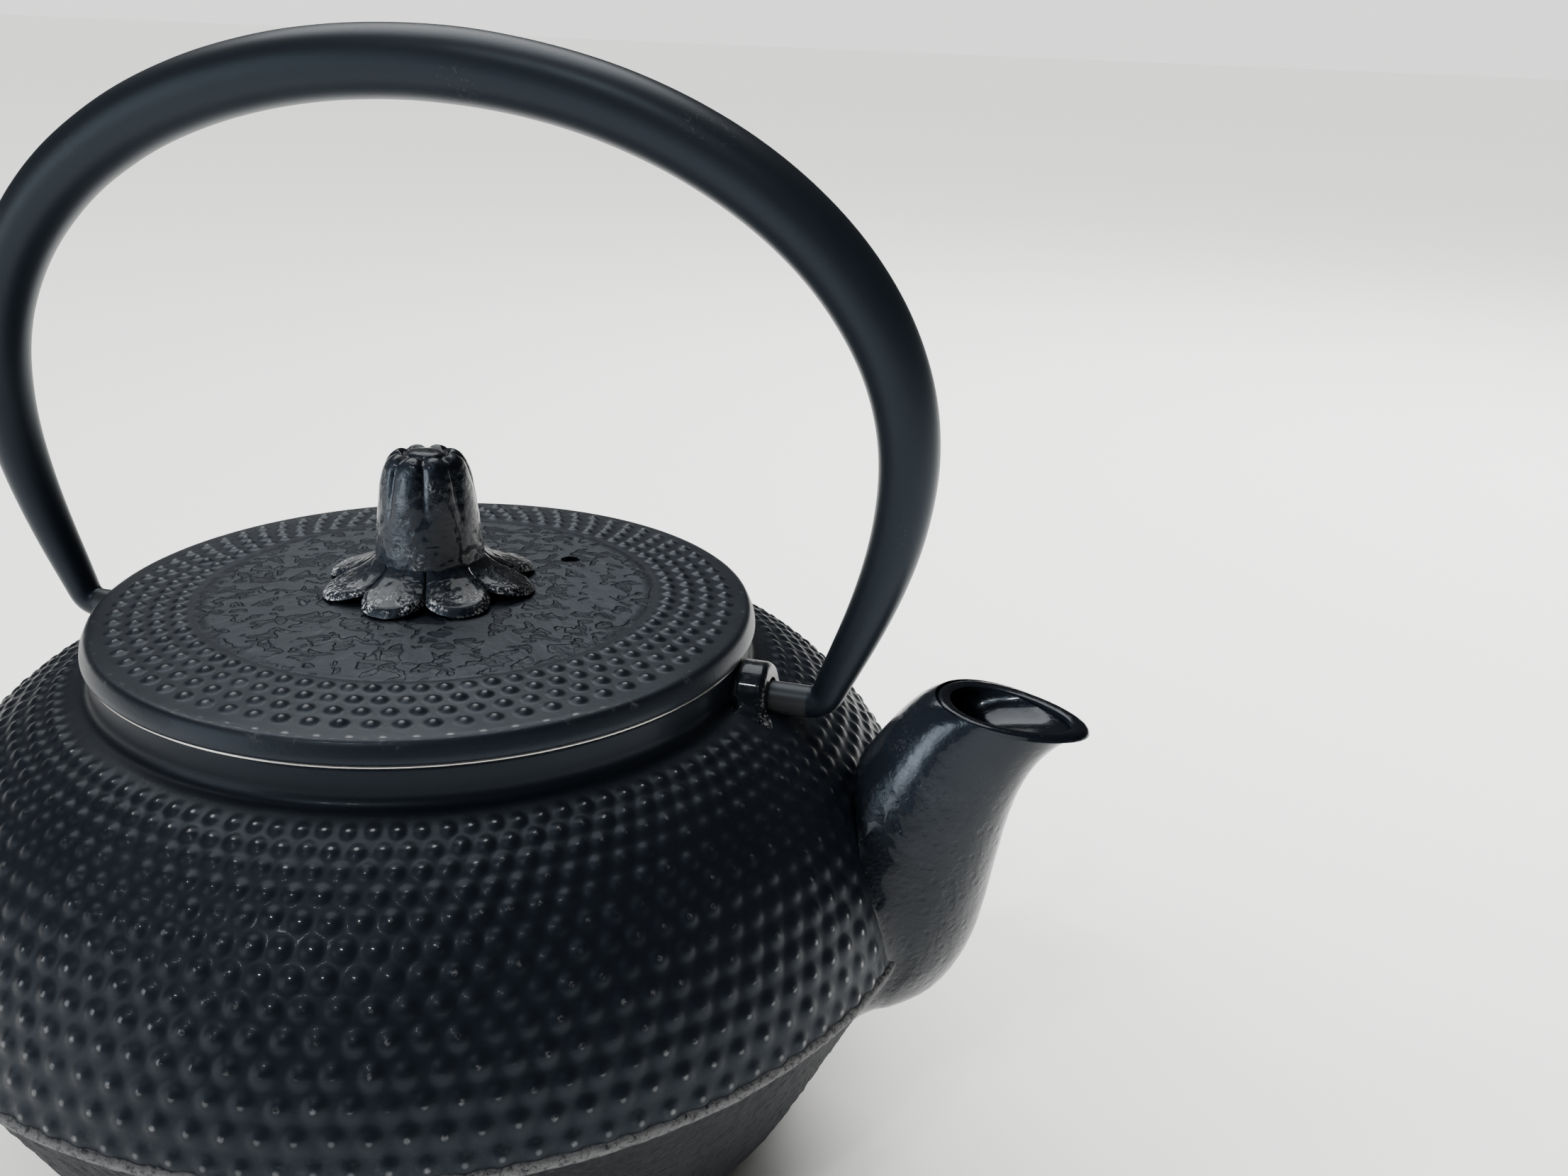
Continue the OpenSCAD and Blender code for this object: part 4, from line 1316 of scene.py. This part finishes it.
class TEAPOT_OT_pot(bpy.types.Operator):
    """Makes the dotted shoulder and the rough underside of the pot."""

    bl_idname = "teapot.pot"
    bl_label = "Pot"

    def execute(self, context):
        scene = context.scene
        pot, spout, colours = scene.teapot_pot, scene.teapot_spout, scene.teapot_colours
        shoulder = pot_shoulder(pot, spout)
        start, end = spout_hole(pot, spout)
        edited(shoulder, lambda bm: bore(bm, start, end, spout.way_r, 0.6 * MM))
        piece(shoulder, "pot", ["pot_body"], body_finish(colours, pot))
        piece(pot_underside(pot), "pot", ["pot_body"], rough_finish(colours, pot))
        return {"FINISHED"}


class TEAPOT_OT_lugs(bpy.types.Operator):
    """Makes the two ears that the handle turns in."""

    bl_idname = "teapot.lugs"
    bl_label = "Ears"

    def execute(self, context):
        pot, colours = context.scene.teapot_pot, context.scene.teapot_colours
        face_x = NECK_R + pot.lug_out

        def rim(finish):
            """The rubbed edge of an ear's outer face."""
            x, y, z = finish.axes()
            z = z - HINGE_Z
            wide = (y * y + z * z).root().rise(pot.lug_r - 0.8 * MM, pot.lug_r - 0.2 * MM)
            return wide * x.magnitude().rise(face_x - 1.5 * MM, face_x - 0.9 * MM) * 0.7

        finish = gloss_finish(colours, "ear_coating", lambda f: f.noise(200).mix(0.3, 0.8), rim)
        for side, name in ((1, "ear_by_spout"), (-1, "ear_opposite")):
            piece(pot_lug(pot, side, name), "pot", ["pot_body"], finish)
        return {"FINISHED"}


class TEAPOT_OT_spout(bpy.types.Operator):
    """Makes the spout."""

    bl_idname = "teapot.spout"
    bl_label = "Spout"

    def execute(self, context):
        scene = context.scene
        pot, spout, colours = scene.teapot_pot, scene.teapot_spout, scene.teapot_colours
        pitted = lambda f: f.axes()[2].rise(66 * MM, 44 * MM) * 0.75 + 0.15
        speckle = lambda f: f.noise(60, detail=2).rise(0.55, 0.75) * 0.12
        finish = gloss_finish(colours, "spout_gloss", pitted, speckle)
        piece(spout_mesh(pot, spout), "pot", ["spout"], finish)
        return {"FINISHED"}


class TEAPOT_OT_lining(bpy.types.Operator):
    """Gives the enamel lining its finish."""

    bl_idname = "teapot.lining"
    bl_label = "Enamel lining"

    def execute(self, context):
        dress("enamel_lining", enamel_finish(context.scene.teapot_colours))
        return {"FINISHED"}


class TEAPOT_OT_bow(bpy.types.Operator):
    """Makes the bow handle."""

    bl_idname = "teapot.bow"
    bl_label = "Bow handle"

    def execute(self, context):
        mesh = bow_mesh(context.scene.teapot_bow)
        piece(mesh, "bow", ["handle"], bow_finish(context.scene.teapot_colours))
        return {"FINISHED"}


class TEAPOT_OT_infuser(bpy.types.Operator):
    """Makes the infuser's flange, woven wall, band and woven floor."""

    bl_idname = "teapot.infuser"
    bl_label = "Infuser"

    def execute(self, context):
        colours = context.scene.teapot_colours
        steel = steel_finish(colours)
        piece(flange_mesh(), "infuser", ["infuser_rim"], steel)
        piece(band_mesh(), "infuser", ["infuser_base_band"], steel)
        piece(mesh_wall(), "infuser", ["infuser_wall"], mesh_finish(colours, False))
        piece(mesh_floor(), "infuser", ["infuser_floor"], mesh_finish(colours, True))
        return {"FINISHED"}


class TEAPOT_OT_lid(bpy.types.Operator):
    """Makes the lid."""

    bl_idname = "teapot.lid"
    bl_label = "Lid"

    def execute(self, context):
        lid = context.scene.teapot_lid
        piece(lid_mesh(lid), "lid", ["lid"], lid_finish(context.scene.teapot_colours, lid))
        return {"FINISHED"}


class TEAPOT_OT_knob(bpy.types.Operator):
    """Makes the knob and its petals, and gives the washer under the lid its finish."""

    bl_idname = "teapot.knob"
    bl_label = "Knob"

    def execute(self, context):
        lid, colours = context.scene.teapot_lid, context.scene.teapot_colours
        pitted = lambda f: f.noise(300, detail=3).mix(0.35, 0.95)
        flecks = lambda f: f.noise(150, detail=3).rise(0.55, 0.72) * 0.35
        bud = gloss_finish(colours, "knob_gloss", pitted, flecks)
        tips = lambda f: f.radius().rise(10.5 * MM, 14 * MM) * f.noise(260, detail=3).rise(0.38, 0.55)
        leaf = gloss_finish(colours, "petal_gloss", pitted, tips)
        piece(knob_mesh(lid), "lid", ["lid_knob"], bud)
        piece(petals_mesh(lid), "lid", ["lid_knob"], leaf)
        dress("knob_washer", steel_finish(colours))
        return {"FINISHED"}


class TEAPOT_OT_stage(bpy.types.Operator):
    """Makes the pale floor, the soft lights and the camera."""

    bl_idname = "teapot.stage"
    bl_label = "Stage"

    def execute(self, context):
        settings = context.scene.teapot_stage
        floor = paper_floor(context.scene.teapot_colours)
        room(settings)
        soft_light("window", WINDOW_PLACE, POT_MIDDLE, (0.5, 0.55), settings.window, (0.9, 0.95, 1.0))
        far_light("daylight", (0.42, -0.5, -1.15), 50, settings.day)
        for name, way in (("lamp_left", (0.22, 0.6, -0.8)), ("lamp_right", (0.1, 0.62, -0.8))):
            far_light(name, way, 3, settings.lamps)

        behind, far_paper = (0.32, 0.45, 0.65), Vector((0.22, 0.22, 0))
        wash = far_light("paper_wash", (1, 0.1, -0.6), 40, settings.wash)
        glow = soft_light("paper_glow", behind, far_paper, (0.5, 0.5), settings.glow, (1, 1, 1))
        lights_only([wash, glow], [floor])
        glint = soft_light("glint", WINDOW_PLACE, POT_MIDDLE, (0.3, 0.42), settings.glint, (0.93, 0.97, 1.0))
        lights_only([glint], [bpy.data.objects[name] for name in GLOSSY])
        place_camera(settings.lens)
        return {"FINISHED"}


# ---- stage ----

POT_MIDDLE = Vector((0, 0, 0.07))
WINDOW_PLACE = (-0.68, -0.7, 0.27)
GLOSSY = ("spout_shell", "knob_bud", "knob_petals", "ear_by_spout", "ear_opposite")
FLOOR_REACH = 30
CAMERA_PLACE = (0.09506, -0.18137, 0.15467)
CAMERA_WAY = (-0.2117, 0.9111, -0.3538)
CAMERA_ROLL = math.radians(2.33)


def paper_floor(colours):
    """A wide flat floor of pale paper."""
    mesh = bpy.data.meshes.new("paper_floor")
    bm = bmesh.new()
    bmesh.ops.create_grid(bm, x_segments=8, y_segments=8, size=FLOOR_REACH)
    bm.to_mesh(mesh)
    bm.free()
    floor = bpy.data.objects.new("paper_floor", mesh)
    bpy.context.scene.collection.objects.link(floor)
    mesh.materials.append(paper_finish(colours))
    return floor


def room(settings):
    """The world: a dim even light, with a pale wall where the camera looks past the floor."""
    world = bpy.data.worlds.new("room")
    world.use_nodes = True
    nodes, links = world.node_tree.nodes, world.node_tree.links
    background = nodes["Background"]
    background.inputs["Color"].default_value = (0.97, 0.98, 0.96, 1)
    path = nodes.new("ShaderNodeLightPath")
    seen = nodes.new("ShaderNodeMapRange")
    seen.inputs["To Min"].default_value = settings.sky
    seen.inputs["To Max"].default_value = settings.beyond
    links.new(path.outputs["Is Camera Ray"], seen.inputs["Value"])
    links.new(seen.outputs["Result"], background.inputs["Strength"])
    bpy.context.scene.world = world


def lights_only(lamps, lit):
    """Makes the lamps light those objects and nothing else."""
    receivers = bpy.data.collections.new(lamps[0].name + "_only")
    for item in lit:
        receivers.objects.link(item)
    for lamp in lamps:
        lamp.light_linking.receiver_collection = receivers


def place_camera(lens):
    """The camera, low in front of the pot and rolled a little."""
    view = bpy.data.cameras.new("camera")
    view.lens = lens
    view.sensor_width = 36
    view.clip_start, view.clip_end = 0.01, 50
    camera = bpy.data.objects.new("camera", view)
    forward = Vector(CAMERA_WAY).normalized()
    right = forward.cross(Vector((0, 0, 1))).normalized()
    up = right.cross(forward)
    side = right * math.cos(CAMERA_ROLL) + up * math.sin(CAMERA_ROLL)
    high = up * math.cos(CAMERA_ROLL) - right * math.sin(CAMERA_ROLL)
    turn = Matrix((side, high, -forward)).transposed().to_4x4()
    camera.matrix_world = Matrix.Translation(CAMERA_PLACE) @ turn
    bpy.context.scene.collection.objects.link(camera)
    bpy.context.scene.camera = camera


def dress(node, material):
    """Gives a CAD node that stays in view its finish."""
    shown = frame["nodes"][node]
    shown.data.materials.clear()
    shown.data.materials.append(material)


def soft_light(name, place, aim, size, power, tint):
    """A large rectangular light turned to its aim."""
    lamp = bpy.data.lights.new(name, "AREA")
    lamp.shape = "RECTANGLE"
    lamp.size, lamp.size_y = size
    lamp.energy = power
    lamp.color = tint
    made = bpy.data.objects.new(name, lamp)
    made.location = place
    made.rotation_mode = "QUATERNION"
    made.rotation_quaternion = (aim - Vector(place)).to_track_quat("-Z", "Y")
    bpy.context.scene.collection.objects.link(made)
    return made


def far_light(name, way, wide, strength):
    """A light from far off that shines along way and looks that many degrees wide."""
    lamp = bpy.data.lights.new(name, "SUN")
    lamp.energy = strength
    lamp.angle = math.radians(wide)
    made = bpy.data.objects.new(name, lamp)
    made.rotation_mode = "QUATERNION"
    made.rotation_quaternion = Vector(way).to_track_quat("-Z", "Y")
    bpy.context.scene.collection.objects.link(made)
    return made


class TEAPOT_PT_panel(bpy.types.Panel):
    """Lists the pieces in the sidebar."""

    bl_label = "Teapot"
    bl_idname = "TEAPOT_PT_panel"
    bl_space_type = "VIEW_3D"
    bl_region_type = "UI"
    bl_category = "Teapot"

    def draw(self, context):
        for name in SETTINGS:
            box = self.layout.box()
            group = getattr(context.scene, name)
            for key in group.__annotations__:
                box.prop(group, key)
        for operator in OPERATORS:
            self.layout.operator(operator.bl_idname)


SETTINGS = {
    "teapot_pot": PotSizes,
    "teapot_spout": SpoutSizes,
    "teapot_bow": BowSizes,
    "teapot_lid": LidSizes,
    "teapot_colours": Colours,
    "teapot_stage": StageSettings,
}
OPERATORS = (
    TEAPOT_OT_pot,
    TEAPOT_OT_lugs,
    TEAPOT_OT_spout,
    TEAPOT_OT_lining,
    TEAPOT_OT_bow,
    TEAPOT_OT_infuser,
    TEAPOT_OT_lid,
    TEAPOT_OT_knob,
    TEAPOT_OT_stage,
)


def register():
    """Registers the classes and hangs the settings on the scene."""
    for cls in (*SETTINGS.values(), *OPERATORS, TEAPOT_PT_panel):
        bpy.utils.register_class(cls)
    for name, cls in SETTINGS.items():
        setattr(bpy.types.Scene, name, PointerProperty(type=cls))


def unregister():
    """Takes the settings and the classes away again."""
    for name in SETTINGS:
        delattr(bpy.types.Scene, name)
    for cls in (TEAPOT_PT_panel, *reversed(OPERATORS), *reversed(SETTINGS.values())):
        bpy.utils.unregister_class(cls)


def main():
    """Makes every piece and the stage."""
    register()
    for operator in OPERATORS:
        family, name = operator.bl_idname.split(".")
        getattr(getattr(bpy.ops, family), name)()


if __name__ == "__main__":
    main()
